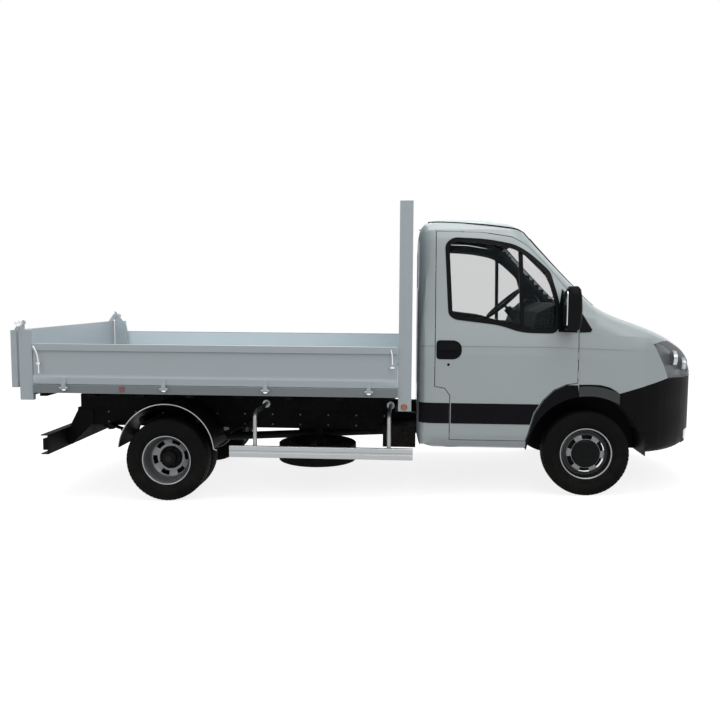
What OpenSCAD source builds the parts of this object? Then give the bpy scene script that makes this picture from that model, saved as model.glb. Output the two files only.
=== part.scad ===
// Single-cab tipping truck: ladder chassis, hollow cab with hinged doors and bonnet,
// and a drop-side bed that tips rearwards on a telescopic ram.
// X runs forward, Y to the left and Z up, in millimetres.  The origin is on the ground
// under the middle of the truck.  The wheels stand level; what the chassis carries leans
// nose down by the rake.  Heights are above the ground and lengths from the rear axle,
// both measured along the leaning chassis.

/* [Running gear] */
// Distance between the axles
wheelbase = 3450; // [3200:10:4200]
// Nose-down lean of the empty truck, degrees
rake = 2; // [0:0.5:3]
// Outer radius of a tyre
tyre_r = 346; // [330:1:360]
// Width of a tyre
tyre_w = 186; // [160:1:200]
// Radius of the rim where the tyre sits
rim_r = 203; // [180:1:215]
// Middle of a front tyre from the centre line
front_track_half = 877; // [860:1:900]
// Middle of an outer rear tyre from the centre line
rear_track_half = 890; // [880:1:910]
// Distance between the middles of twin tyres
twin_pitch = 215; // [208:1:230]
// Steering axis from the centre line
kingpin_half = 735; // [720:1:745]

/* [Chassis frame] */
// Underside of the chassis rails
rail_z = 540; // [520:1:560]
// Height of a chassis rail
rail_h = 160; // [140:1:175]
// Outer face of a rail from the centre line
rail_out = 430; // [410:1:440]
// Flange width of a rail
rail_flange = 60; // [50:1:70]
// Thickness of the rail steel
rail_t = 6; // [4:1:8]
// Rear end of the rails behind the rear axle
rail_tail = 1000; // [940:1:1060]
// Height of the tipping subframe on the rails
subframe_h = 116; // [110:1:122]

/* [Cab] */
// Outside width of the cab at its waist
cab_w = 1990; // [1900:10:2100]
// Front axle to the back of the cab
cab_back = 1366; // [1300:1:1450]
// Thickness of doors and side walls
door_t = 60; // [45:1:70]
// Thickness of roof, rear wall and nose panels
panel_t = 32; // [24:1:40]
// Shut gap around a door or the bonnet
shut_gap = 6; // [5:0.5:9]
// Thickness of the glass
glass_t = 5; // [4:1:8]
// Radius of the front wheel arch
arch_r = 475; // [465:1:490]

/* [Tipping bed] */
// Outside width of the bed
bed_w = 2140; // [2060:10:2260]
// Rear end of the bed behind the rear axle
bed_tail = 1205; // [1150:1:1260]
// Gap between the cab and the headboard
cab_bed_gap = 44; // [40:1:60]
// Top of the bed floor
bed_z = 988; // [980:1:1000]
// Height of the side boards
board_h = 330; // [250:1:400]
// Thickness of the side boards
board_t = 38; // [30:1:45]
// Thickness of the tailgate
tailgate_t = 50; // [40:1:60]
// Top of the headboard
headboard_z = 2476; // [2300:1:2600]
// Largest tipping angle, degrees
tip_max = 45; // [35:1:50]

/* [Fits] */
// Play between a pin and its eye
pin_play = 0.3; // [0.2:0.1:0.5]
// Least clearance beside moving pieces
run_gap = 6; // [5:0.5:8]

/* [Hidden] */
$fn = 64;

// ---- Places worked out from the sizes above ----

// Front end of the bumper ahead of the front axle
nose = 1019;
// Where the truck's middle lies ahead of the rear axle
mid_x = 1612 + (wheelbase - 3450) / 2;
// Axle centres seen in the leaning frame
front_x = wheelbase * cos(rake) - tyre_r * sin(rake);
front_z = wheelbase * sin(rake) + tyre_r * cos(rake);
rear_x = -tyre_r * sin(rake);
rear_z = tyre_r * cos(rake);

rail_top = rail_z + rail_h;
rail_in = rail_out - rail_flange;
rail_nose = front_x + 700;
subframe_z = rail_top + 6;
subframe_top = subframe_z + subframe_h;

cab_x = front_x - cab_back;
cab_half = cab_w / 2;
// Heights on the cab
sill_z = 485;
door_foot = 567;
waist_z = 1330;
belt_z = 1445;
floor_top = 740;
floor_t = 40;

bed_half = bed_w / 2;
head_x = cab_x - cab_bed_gap;
head_d = 106;
head_back = head_x - head_d;
post_d = 110;
bed_floor_t = 24;
bearer_z = 878;
// Tipping hinge
tip_x = -bed_tail + 275;
tip_z = subframe_top + run_gap + 25;
tip_pin_r = 18;

// Side-board hinge: outboard of the sill and below the board
board_pin = [bed_half + 18, 957];
board_x0 = -bed_tail + post_d + 6;
board_x1 = head_back - 10;
board_z0 = bed_z + 1;

// Tailgate hinge: above the rear posts
gate_pin = [-bed_tail + 12, 1490];
gate_x = -bed_tail - 22;
gate_z0 = 954;
gate_top = 1430;

// Ram: foot and head at the same distance from the tipping hinge
ram_y = 172;
ram_head = [tip_x + 1360, 905];
ram_reach = norm(ram_head - [tip_x, tip_z]);
ram_foot_z = 370;
ram_foot = [tip_x + sqrt(pow(ram_reach, 2) - pow(tip_z - ram_foot_z, 2)), ram_foot_z];
ram_len = norm(ram_head - ram_foot);
ram_lean = atan2(ram_head[0] - ram_foot[0], ram_head[1] - ram_foot[1]);

// ---- Cab outlines ----

// Side view of the cab and nose: ahead of the front axle, height
cab_side = [for (p = [
    [-1366, 470], [905, 470], [985, 640], [1005, 820], [1000, 985],
    [970, 1090], [905, 1215], [790, 1330], [600, 1425], [400, 1505], [194, 1578],
    [46, 1655], [-240, 1945], [-430, 2155], [-540, 2275],
    [-660, 2325], [-900, 2358], [-1180, 2372], [-1300, 2368], [-1366, 2290]
]) [front_x + (p[0] < -cab_back + 40 ? p[0] + 1366 - cab_back : p[0]), p[1]]];

// Section of the cab: height, share of the side inset from the waist
cab_section_half = [for (r = [
    [430, 40], [600, 12], [900, 3], [1330, 0], [1420, 14], [1560, 38], [2190, 114],
    [2270, 140], [2330, 190], [2362, 270], [2378, 420]
]) [r[0], cab_half - r[1]]];

// Plan of the cab and nose: ahead of the front axle, half width
cab_plan_half = [for (r = [
    [-cab_back, -60], [-cab_back + 70, 10], [300, 10], [420, 0], [560, -45], [670, -115],
    [800, -240], [900, -390], [970, -560], [nose, -840]
]) [front_x + r[0], cab_half + r[1]]];

// Door outline: ahead of the front axle, height
door_front = -91;
door_outline = [for (p = [
    [-1098, 567], [-492, 567], [-470, 640], [-425, 800], [-360, 905], [-280, 985],
    [-180, 1032], [-91, 1046], [-91, 1700], [-230, 1862], [-336, 2006], [-476, 2136],
    [-616, 2203], [-846, 2238], [-1221, 2250], [-1221, 1005], [-1140, 990], [-1098, 930]
]) [front_x + p[0], p[1]]];

// Window in the door: ahead of the front axle, height
window_outline = [for (p = [
    [-1100, 1590], [-1060, 1562], [-700, 1520], [-540, 1462], [-270, 1458], [-250, 1640],
    [-330, 1912], [-360, 1945], [-490, 2060], [-600, 2125], [-820, 2168], [-1080, 2180],
    [-1130, 2140]
]) [front_x + p[0], p[1]]];

// Door hinge: in the shut gap, at the widest part of the door's front edge
door_pin = [front_x + door_front + shut_gap / 2, cab_half + 1];

// Bonnet: rear edge, side edge and lower front edge
bonnet_x = front_x + 205;
bonnet_half = 610;
bonnet_nose_z = 1195;
bonnet_pin = [bonnet_x - shut_gap / 2, 1577];

// ---- Helpers ----

function reversed(v) = [for (i = [len(v) - 1 : -1 : 0]) v[i]];
function unit(v) = v / norm(v);
function inward(a, b) = let (u = unit(b - a)) [-u[1], u[0]];
// Moves every edge of a counter-clockwise outline inwards by d
function inset(p, d) = [for (i = [0 : len(p) - 1])
    let (n = len(p),
         n1 = inward(p[(i + n - 1) % n], p[i]),
         n2 = inward(p[i], p[(i + 1) % n]))
    p[i] + (n1 + n2) * d / (1 + n1 * n2)];

cab_section = concat([for (r = cab_section_half) [r[1], r[0]]],
                     [for (r = reversed(cab_section_half)) [-r[1], r[0]]]);
cab_plan = concat([for (r = cab_plan_half) [r[0], -r[1]]],
                  [for (r = reversed(cab_plan_half)) [r[0], r[1]]]);

module level() {
    translate([-mid_x, 0, 0])
        children();
}

module leaning() {
    level()
        rotate([0, rake, 0])
            children();
}

// Left pieces as drawn, right ones mirrored
module on_side(side) {
    if (side == "left")
        children();
    else
        mirror([0, 1, 0])
            children();
}

module both_sides() {
    on_side("left") children();
    on_side("right") children();
}

// A box from its low and high corners
module block(low, high) {
    translate(low)
        cube(high - low);
}

// A side-view outline given thickness from y0 to y1
module side_slab(y0, y1, outline) {
    translate([0, y1, 0])
        rotate([90, 0, 0])
            linear_extrude(y1 - y0)
                polygon(outline);
}

module across(x, z, r, y0, y1) {
    translate([x, y1, z])
        rotate([90, 0, 0])
            cylinder(r = r, h = y1 - y0);
}

// The closed outer form of the cab and nose, moved inwards by d
module cab_form(d) {
    intersection() {
        side_slab(-1200, 1200, inset(cab_side, d));
        translate([cab_x - 100, 0, 0])
            rotate([90, 0, 90])
                linear_extrude(cab_back + nose + 200)
                    polygon(inset(cab_section, d));
        translate([0, 0, 400])
            linear_extrude(2100)
                polygon(inset(cab_plan, d));
    }
}

module cab_shell(t) {
    difference() {
        cab_form(0);
        cab_form(t);
    }
}

// ---- Chassis ----

module chassis_rails() {
    color("dimgray")
        leaning()
            both_sides()
                difference() {
                    block([-rail_tail, rail_in, rail_z], [rail_nose, rail_out, rail_top]);
                    block([-rail_tail - 1, rail_in - 1, rail_z + rail_t],
                          [rail_nose + 1, rail_out - rail_t, rail_top - rail_t]);
                }
}

// Crossmembers: middle along the rails, depth along X
cross_places = [[-rail_tail + 40, 70], [-330, 60], [ram_foot[0] - 220, 56],
                [ram_foot[0] + 220, 56], [1130, 60], [cab_x - 160, 70],
                [front_x - 700, 70], [rail_nose - 60, 70]];
cross_drop = 30;

module crossmembers() {
    color("dimgray")
        leaning() {
            for (c = cross_places)
                block([c[0] - c[1] / 2, -rail_in + rail_t, rail_z + cross_drop],
                      [c[0] + c[1] / 2, rail_in - rail_t, rail_top - cross_drop]);
            tow_jaw();
            both_sides()
                for (c = cross_places)
                    block([c[0] - c[1] / 2, rail_in - rail_t, rail_z + cross_drop],
                          [c[0] + c[1] / 2, rail_out - rail_t, rail_top - cross_drop]);
            ram_cradle();
        }
}

// Towing jaw behind the rear crossmember: two cheeks with an upright pin bore
jaw_r = 16;
jaw_x = -rail_tail - 50;
jaw_z = (rail_z + rail_top) / 2;
jaw_gap = 50;
jaw_t = 18;

module tow_jaw() {
    difference() {
        union() {
            for (z = [jaw_z - jaw_gap / 2 - jaw_t, jaw_z + jaw_gap / 2])
                block([jaw_x - 38, -38, z], [-rail_tail + 6, 38, z + jaw_t]);
            block([-rail_tail - 8, -60, rail_z + cross_drop],
                  [-rail_tail + 5, 60, rail_top - cross_drop]);
        }
        translate([jaw_x, 0, jaw_z - 60])
            cylinder(r = jaw_r, h = 120);
    }
}

// Cradle of the ram: two straps between crossmembers, each with a lug for the foot pin
ram_r = 75;
foot_pin_r = 18;
cradle_gap = 8;

module ram_cradle() {
    difference() {
        ram_straps();
        across(ram_foot[0], ram_foot[1], foot_pin_r + pin_play, 0, ram_y + 200);
    }
}

module ram_straps() {
    for (y = [ram_y - ram_r - cradle_gap - 12, ram_y + ram_r + cradle_gap]) {
        block([ram_foot[0] - 220, y, rail_z + cross_drop + 10],
              [ram_foot[0] + 220, y + 12, rail_top - cross_drop - 10]);
        side_slab(y, y + 12, [
            [ram_foot[0] - 40, ram_foot_z - 10], [ram_foot[0] - 22, ram_foot_z - 34],
            [ram_foot[0] + 22, ram_foot_z - 34], [ram_foot[0] + 40, ram_foot_z - 10],
            [ram_foot[0] + 130, rail_z + cross_drop + 12],
            [ram_foot[0] - 130, rail_z + cross_drop + 12]]);
    }
}

module tipping_subframe() {
    color("gray")
        leaning() {
            both_sides() {
                block([tip_x - 40, rail_in, rail_top], [head_back - 60, rail_out, subframe_top]);
                block([tip_x - 30, rail_in - 26, subframe_z + 20],
                      [tip_x + 30, rail_in + 1, subframe_top]);
                block([tip_x - 30, rail_in - 26, subframe_top - 1],
                      [tip_x + 30, rail_in - run_gap, tip_z]);
                across(tip_x, tip_z, 30, rail_in - 26, rail_in - run_gap);
                across(tip_x, tip_z, tip_pin_r, rail_in - 20, rail_out + 8);
            }
            for (x = [tip_x + 60, 1130, head_back - 140])
                block([x - 30, -rail_in - 1, subframe_z + 10],
                      [x + 30, rail_in + 1, subframe_top - 10]);
        }
}

beam_x = -1116;
beam_half = 850;

module underrun_beam() {
    color("dimgray")
        leaning() {
            difference() {
                block([beam_x - 34, -beam_half, 350], [beam_x + 34, beam_half, 520]);
                block([beam_x - 40, -beam_half - 1, 358], [beam_x + 26, beam_half + 1, 512]);
            }
            both_sides()
                side_slab(rail_out, rail_out + 10, [
                    [beam_x + 33, 360], [beam_x + 60, 360], [-rail_tail + 150, rail_z + 20],
                    [-rail_tail + 150, rail_top - 20], [-rail_tail + 6, rail_top - 20],
                    [beam_x + 33, 510]]);
        }
}

// ---- Axles ----

kingpin_r = 14;
ball_z = 95;
spindle_r = 24;
arm_z = 190;

module front_suspension() {
    color("dimgray") {
        leaning() {
            block([front_x - 90, -rail_out, rail_z - 120], [front_x + 90, rail_out, rail_z]);
            both_sides()
                block([front_x - 90, rail_out - 30, rail_z - 190],
                      [front_x + 90, rail_out, rail_z - 119]);
        }
        level()
            both_sides()
                for (z = [-ball_z, ball_z])
                    difference() {
                        union() {
                            translate([wheelbase, kingpin_half, tyre_r + z - 12])
                                cylinder(r = 30, h = 24);
                            for (x = [-1, 1])
                                translate([0, 0, tyre_r + z - 10])
                                    linear_extrude(20)
                                        polygon([[wheelbase + x * 80 - 16, rail_out + 15],
                                                 [wheelbase + x * 80 + 16, rail_out + 15],
                                                 [wheelbase + x * 12 + 16, kingpin_half - 12],
                                                 [wheelbase + x * 12 - 16, kingpin_half - 12]]);
                            block([wheelbase - 90, rail_out, tyre_r + z - 16],
                                  [wheelbase + 90, rail_out + 36, tyre_r + z + 16]);
                        }
                        translate([wheelbase, kingpin_half, 0])
                            cylinder(r = kingpin_r + pin_play, h = 900);
                    }
    }
}

// Brake disc and wheel hub run on the spindle
module knuckle() {
    translate([wheelbase, 0, tyre_r]) {
        translate([0, kingpin_half, -ball_z - 30])
            cylinder(r = kingpin_r, h = 2 * ball_z + 60);
        block([-34, kingpin_half - 26, -ball_z + 20], [34, kingpin_half + 14, ball_z - 20]);
        across(0, 0, spindle_r, kingpin_half, front_track_half + 40);
        block([-190, kingpin_half - 24, -30], [-30, kingpin_half - 4, -8]);
    }
}

module rear_axle() {
    color("dimgray")
        level()
            translate([0, 0, tyre_r]) {
                across(0, 0, 52, -560, 560);
                both_sides()
                    across(0, 0, spindle_r + 6, 559, rear_track_half + 30);
                sphere(r = 150);
                rotate([0, 90 - 4, 0])
                    cylinder(r = 60, h = 200);
                both_sides()
                    block([-60, spring_y - 40, 40], [60, spring_y + 40, 62]);
            }
}

spring_y = 500;
spring_w = 64;
spring_half = 640;
spring_sag = 130;
leaf_t = 12;

// A leaf is a shallow arc; the shorter leaves lie under the main one
module leaf(half, top, t) {
    radius = (spring_half * spring_half + spring_sag * spring_sag) / (2 * spring_sag);
    intersection() {
        difference() {
            across(0, radius + top - t, radius, spring_y - spring_w / 2, spring_y + spring_w / 2);
            across(0, radius + top, radius, spring_y - spring_w, spring_y + spring_w);
        }
        block([-half, 0, top - t - 10], [half, 1000, top + spring_sag]);
    }
}

module leaf_springs() {
    seat = tyre_r + 62.3;
    color("gray")
        level()
            both_sides() {
                for (i = [0 : 3])
                    leaf(spring_half - 150 * (3 - i) / 1.6, seat + leaf_t * (i + 1), leaf_t);
                for (x = [-spring_half, spring_half]) {
                    block([x - 22, rail_out, seat + spring_sag + 4],
                          [x + 22, spring_y + spring_w / 2, rail_z + 30]);
                    across(x, seat + spring_sag + 34, 24, spring_y - spring_w / 2 - 6,
                           spring_y + spring_w / 2 + 6);
                }
            }
}

// ---- Drive line ----

module engine() {
    color("darkslategray")
        leaning() {
            block([front_x + 32, -260, rail_z + cross_drop], [front_x + 600, 260, 1180]);
            block([front_x - 200, -150, rail_z + 5], [front_x + 40, 150, floor_top - floor_t - 12]);
            block([front_x - 850, -150, 430], [front_x - 92, 150, rail_z + cross_drop]);
        }
}

module propshaft() {
    run = [front_x - 850 - 200, 0, 500 - 372];
    color("gray")
        leaning()
            translate([190, 0, 372])
                rotate([0, atan2(run[0], run[2]), 0])
                    cylinder(r = 36, h = norm(run) + 8);
}

module exhaust() {
    color("gray")
        leaning() {
            translate([cab_x + 60, 290, 440])
                rotate([0, 90, 0])
                    cylinder(r = 78, h = 620);
            across(cab_x + 20, 440, 26, 264, 900);
            translate([cab_x + 10, 290, 440])
                rotate([0, 90, 0])
                    cylinder(r = 26, h = 60);
            block([cab_x + 300, 270, 500], [cab_x + 340, rail_in, rail_z + rail_t]);
        }
}

module fuel_tank() {
    color("dimgray")
        leaning()
            block([900, rail_out, 340], [cab_x - 330, 800, 640]);
}

module battery_box() {
    color("dimgray")
        leaning()
            mirror([0, 1, 0])
                block([cab_x - 280, rail_out, 462], [cab_x - 6, 800, rail_top - 60]);
}

spare_x = 1205;
spare_y = -500;
spare_z = 268;

module spare_wheel() {
    color("black")
        leaning()
            translate([spare_x, spare_y, spare_z + tyre_w / 2])
                rotate([-90, 0, 0]) {
                    tyre_ring(0);
                    wheel_disc(-0.1, 30);
                }
}

module spare_carrier() {
    color("dimgray")
        leaning() {
            block([spare_x - 25, spare_y - tyre_r + 40, spare_z + tyre_w + 0.2],
                  [spare_x + 25, -rail_in, spare_z + tyre_w + 20]);
            block([spare_x - 25, -rail_out, spare_z + tyre_w + 19],
                  [spare_x + 25, -rail_in, rail_z]);
        }
}

// ---- Wheels, drawn about the origin with the axle along Y ----

module tyre_ring(play = 0.2) {
    w = tyre_w / 2;
    rotate([-90, 0, 0])
        rotate_extrude($fn = 96)
            polygon([[rim_r + play, -w + 26.4], [rim_r + 20.4, -w + 18.3], [rim_r + 22, -w + 17],
                     [rim_r + 32, -w + 7], [tyre_r - 75, -w],
                     [tyre_r - 38, -w + 5], [tyre_r - 10, -w + 18], [tyre_r, -w + 40],
                     [tyre_r, w - 40], [tyre_r - 10, w - 18], [tyre_r - 38, w - 5],
                     [tyre_r - 75, w], [rim_r + 32, w - 7], [rim_r + 22, w - 17],
                     [rim_r + 20.4, w - 18.3], [rim_r + play, w - 26.4]]);
}

// A rim with its disc at the given share of the rim's half width, and a hub hole
module wheel_disc(offset, hub_r) {
    w = tyre_w / 2 - 12;
    d = offset * w;
    rotate([-90, 0, 0])
        rotate_extrude($fn = 96)
            polygon([[hub_r, d - 5], [hub_r + 60, d - 5], [rim_r - 52, d + 22], [rim_r - 12, d + 8],
                     [rim_r - 12, -w + 8], [rim_r + 12, -w], [rim_r + 20, -w],
                     [rim_r + 20, -w + 6], [rim_r, -w + 14], [rim_r, w - 14],
                     [rim_r + 20, w - 6], [rim_r + 20, w], [rim_r + 12, w],
                     [rim_r - 12, w - 8], [rim_r - 12, d + 18], [rim_r - 52, d + 32],
                     [hub_r + 60, d + 7], [hub_r, d + 7]]);
}

module front_tyre(side) {
    color("black")
        level()
            on_side(side)
                translate([wheelbase, front_track_half, tyre_r])
                    tyre_ring();
}

module hub_sleeve(r_in, r_out, y0, y1) {
    difference() {
        across(0, 0, r_out, y0, y1);
        across(0, 0, r_in, y0 - 1, y1 + 1);
    }
}

module front_rim(side) {
    color("silver")
        level()
            on_side(side)
                translate([wheelbase, front_track_half, tyre_r]) {
                    wheel_disc(0.3, 50);
                    hub_sleeve(spindle_r + pin_play, 62, -80, 36);
                    hub_sleeve(60, 130, -84, -60);
                }
}

module rear_tyres(side) {
    color("black")
        level()
            on_side(side)
                for (y = [rear_track_half, rear_track_half - twin_pitch])
                    translate([0, y, tyre_r])
                        tyre_ring();
}

module rear_rims(side) {
    color("silver")
        level()
            on_side(side)
                translate([0, rear_track_half, tyre_r]) {
                    mirror([0, 1, 0])
                        wheel_disc(0.55, 60);
                    translate([0, -twin_pitch, 0])
                        wheel_disc(0.55, 60);
                    hub_sleeve(spindle_r + 6 + pin_play, 74, -twin_pitch - 40, 24);
                }
}

module knuckle_on(side) {
    color("gray")
        level()
            on_side(side)
                knuckle();
}

// ---- Chassis sides ----

guard_r = 405;
guard_x = -5;
guard_z = 418;

module mudguards() {
    color("dimgray")
        leaning()
            both_sides() {
                intersection() {
                    difference() {
                        across(guard_x, guard_z, guard_r, 555, 1000);
                        across(guard_x, guard_z, guard_r - 5, 550, 1005);
                    }
                    block([-500, 500, guard_z + 35], [500, 1100, 900]);
                }
                for (x = [-262, 226]) {
                    block([x, rail_out, 655], [x + 36, 900, 690]);
                    intersection() {
                        block([x, 560, 656], [x + 36, 620, 900]);
                        across(guard_x, guard_z, guard_r - 2, 550, 1005);
                    }
                }
            }
}

hoop_x = [735, cab_x - 224];

module guard_rails() {
    color("silver")
        leaning()
            both_sides() {
                block([528, 968, 391], [cab_x - 28, 1000, 486]);
                for (x = hoop_x) {
                    block([x - 17, 934, 420], [x + 17, 968.5, 776]);
                    block([x - 17, rail_out, 742], [x + 17, 940, 776]);
                }
                for (x = hoop_x)
                    block([x - 17, rail_out, rail_top - 60], [x + 17, rail_out + 30, 745]);
            }
}

module rear_lamps() {
    color("firebrick")
        leaning()
            both_sides()
                block([beam_x - 20, 620, 385], [beam_x + 26, 840, 485]);
}

// ---- Cab body ----

cab_reach = 1200;
split_x = front_x + door_front + 2 * shut_gap;

module wheel_arches(r) {
    both_sides()
        across(front_x, front_z, r, 500, cab_reach);
}

// Butt hinge about the Z axis: the pin and outer knuckles, the eye, and the room for each
hinge_pin_r = 3;
hinge_r = 5.5;
hinge_h = 60;
hinge_eye_h = 30;
door_hinge_z = [1110, 1260];

module hinge_post() {
    cylinder(r = hinge_pin_r, h = hinge_h, center = true, $fn = 32);
    for (z = [-1, 1])
        translate([0, 0, z * (hinge_h + hinge_eye_h) / 4 + z * pin_play])
            cylinder(r = hinge_r, h = (hinge_h - hinge_eye_h) / 2, center = true, $fn = 32);
}

module hinge_eye() {
    cylinder(r = hinge_r, h = hinge_eye_h - 2 * pin_play, center = true, $fn = 32);
}

// Room for the eye in the fixed side
module hinge_eye_room() {
    cylinder(r = hinge_r + 2, h = hinge_eye_h, center = true, $fn = 32);
}

// Bore for the pin and room for the knuckles in the moving side
module hinge_leaf_room() {
    cylinder(r = hinge_pin_r + pin_play, h = hinge_h, center = true, $fn = 32);
    for (s = [0, 1])
        mirror([0, 0, s])
            translate([0, 0, hinge_eye_h / 2 - pin_play])
                cylinder(r = hinge_r + 2, h = (hinge_h - hinge_eye_h) / 2 + 3, $fn = 32);
}

module at_door_hinges() {
    for (z = door_hinge_z)
        translate([door_pin[0], door_pin[1], z])
            children();
}

module at_bonnet_hinges() {
    both_sides()
        translate([bonnet_pin[0], 420, bonnet_pin[1]])
            rotate([90, 0, 0])
                children();
}

module cab_sides() {
    color("white")
        leaning()
            both_sides() {
                difference() {
                    intersection() {
                        cab_shell(door_t);
                        side_slab(700, cab_reach, [
                            [cab_x - 9, 430], [split_x, 430], [split_x, belt_z + 8],
                            [front_x + 47, belt_z + 8], [front_x + 47, 2262], [cab_x - 9, 2262]]);
                    }
                    side_slab(600, cab_reach + 1, inset(door_outline, -shut_gap));
                    wheel_arches(arch_r);
                    block([cab_x - 20, 600, 400], [front_x - 200, cab_reach, sill_z]);
                    at_door_hinges()
                        hinge_eye_room();
                }
                at_door_hinges()
                    hinge_post();
            }
}

module cab_roof() {
    color("white")
        leaning()
            intersection() {
                cab_shell(panel_t);
                union() {
                    block([cab_x - 9, -cab_reach, 2262], [front_x, cab_reach, 2500]);
                    block([cab_x + 400, -700, 2215], [front_x, 700, 2263]);
                }
            }
}

rear_window_z = [1800, 2130];
rear_window_half = 600;

module cab_rear_wall() {
    color("white")
        leaning()
            difference() {
                intersection() {
                    cab_shell(panel_t);
                    block([cab_x - 9, -700, floor_top - floor_t], [cab_x + 60, 700, 2262]);
                }
                block([cab_x - 20, -rear_window_half, rear_window_z[0]],
                      [cab_x + 80, rear_window_half, rear_window_z[1]]);
            }
}

module rear_window() {
    color("lightblue", 0.4)
        leaning()
            block([cab_x + 12, -rear_window_half, rear_window_z[0]],
                  [cab_x + 12 + glass_t, rear_window_half, rear_window_z[1]]);
}

module windscreen_zone() {
    side_slab(-700, 700, [[front_x - 60, 1672], [front_x + 200, 1672], [front_x + 200, 2215],
                          [front_x - 700, 2215], [front_x - 700, 1900]]);
}

module windscreen() {
    color("lightblue", 0.4)
        leaning()
            intersection() {
                difference() {
                    cab_form(8);
                    cab_form(8 + glass_t);
                }
                windscreen_zone();
            }
}

module cowl_zone(g) {
    side_slab(-700 - g, 700 + g, [
        [front_x - 100, 1672], [front_x - 60, 1500], [bonnet_x - shut_gap + g, 1500],
        [bonnet_x - shut_gap + g, 1700], [front_x + 60, 1740], [front_x + 47, 1672]]);
}

module cowl() {
    color("black")
        leaning() {
            difference() {
                intersection() {
                    cab_shell(panel_t);
                    cowl_zone(0);
                }
                at_bonnet_hinges()
                    hinge_eye_room();
            }
            at_bonnet_hinges()
                hinge_post();
        }
}

module firewall_zone() {
    block([front_x - 60, -cab_reach, floor_top - floor_t], [front_x - 28, cab_reach, 1600]);
}

module cab_floor() {
    color("dimgray")
        leaning()
            difference() {
                union() {
                    intersection() {
                        cab_form(door_t + run_gap);
                        union() {
                            block([cab_x, -cab_reach, floor_top - floor_t],
                                  [front_x - 28, cab_reach, floor_top]);
                            firewall_zone();
                        }
                    }
                    block([cab_x + panel_t, -700, floor_top - floor_t],
                          [cab_x + door_t + 20, 700, floor_top]);
                }
                wheel_arches(arch_r + 1);
            }
}

module bonnet_zone(g) {
    block([bonnet_x - g, -bonnet_half - g, bonnet_nose_z - g],
          [front_x + 1200, bonnet_half + g, 1900]);
}

module bumper_zone() {
    side_slab(-cab_reach, cab_reach, [
        [front_x + 240, 430], [front_x + 1200, 430], [front_x + 1200, 1062],
        [front_x + 640, 1084], [front_x + 463, 1033], [front_x + 240, 962]]);
}

lamp_half = 480;

module lamp_zone() {
    both_sides() {
        side_slab(bonnet_half + shut_gap, cab_reach, [
            [front_x + 640, 1084], [front_x + 1200, 1062], [front_x + 1200, 1300],
            [front_x + 700, 1420], [front_x + 500, 1360], [front_x + 590, 1200]]);
        block([front_x + 640, lamp_half, 1060], [front_x + 1200, bonnet_half + shut_gap + 1,
                                                 bonnet_nose_z - shut_gap]);
    }
}

module headlamps() {
    color("gainsboro")
        leaning()
            difference() {
                intersection() {
                    cab_shell(60);
                    lamp_zone();
                }
                bumper_zone();
            }
}

module grille() {
    color("black")
        leaning()
            difference() {
                intersection() {
                    cab_shell(panel_t);
                    block([front_x + 640, -lamp_half, 1050],
                          [front_x + 1200, lamp_half, bonnet_nose_z - shut_gap]);
                }
                bumper_zone();
            }
}

module bonnet() {
    color("white")
        leaning() {
            difference() {
                union() {
                    intersection() {
                        cab_shell(panel_t);
                        bonnet_zone(0);
                    }
                    at_bonnet_hinges()
                        hinge_eye();
                }
                at_bonnet_hinges()
                    hinge_leaf_room();
            }
        }
}

module front_wings() {
    color("white")
        leaning() {
            difference() {
                intersection() {
                    cab_shell(panel_t);
                    both_sides()
                        side_slab(480, cab_reach, [
                            [split_x, 430], [front_x + 1200, 430], [front_x + 1200, 1500],
                            [front_x + 250, 1700], [front_x + 47, 1800], [front_x + 47, belt_z + 8],
                            [split_x, belt_z + 8]]);
                }
                bonnet_zone(shut_gap);
                bumper_zone();
                lamp_zone();
                cowl_zone(0);
                windscreen_zone();
                wheel_arches(arch_r);
                block([front_x, -bonnet_half, 1000], [bonnet_x, bonnet_half, 1900]);
            }
            wheel_liner();
        }
}

module wheel_liner() {
    intersection() {
        difference() {
            wheel_arches(arch_r);
            wheel_arches(arch_r - 6);
        }
        cab_form(panel_t);
        block([front_x - 600, -cab_reach, 640], [front_x + 600, cab_reach, 1000]);
    }
}

module arch_flares() {
    color("black")
        leaning()
            intersection() {
                difference() {
                    both_sides()
                        across(front_x, front_z, arch_r + 78, 900, cab_half + 12);
                    wheel_arches(arch_r);
                    cab_form(0);
                    both_sides()
                        block([front_x - 700, 800, 300], [split_x + 2, 1100, 1200]);
                }
                block([front_x - 600, -cab_reach, 560], [front_x + 240, cab_reach, 1200]);
            }
}

module bumper() {
    color("black")
        leaning() {
            difference() {
                intersection() {
                    cab_shell(panel_t);
                    bumper_zone();
                }
                wheel_arches(arch_r);
                tow_socket(tow_r, 120);
            }
            difference() {
                tow_socket(tow_r + 12, 60);
                tow_socket(tow_r, 70);
            }
            both_sides()
                block([rail_nose, rail_in, 560], [front_x + nose - 30 - 140, rail_out, 660]);
        }
}

// Threaded socket for a screw-in towing eye, behind the bumper skin
tow_r = 10;
tow_y = -300;
tow_z = 600;

module tow_socket(r, h) {
    translate([front_x + 760, tow_y, tow_z])
        rotate([0, 90, 0])
            cylinder(r = r, h = h + 120);
}

// ---- Cab interior ----

module dashboard() {
    color("darkslategray")
        leaning()
            difference() {
                union() {
                    intersection() {
                        cab_form(door_t + 12);
                        side_slab(-cab_reach, cab_reach, [
                            [front_x - 240, 1120], [front_x - 61, 1060], [front_x - 61, 1600],
                            [front_x - 90, 1668], [front_x - 250, 1668], [front_x - 400, 1600],
                            [front_x - 440, 1480], [front_x - 400, 1300]]);
                    }
                    along_column()
                        translate([0, 0, -330])
                            cylinder(r = 38, h = 270);
                }
                along_column()
                    translate([0, 0, -400])
                        cylinder(r = column_r + pin_play, h = 500);
            }
}

wheel_ring_r = 195;
column_tilt = -41;
column_r = 14;
wheel_hub = [front_x - 528, 400, 1655];

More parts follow.
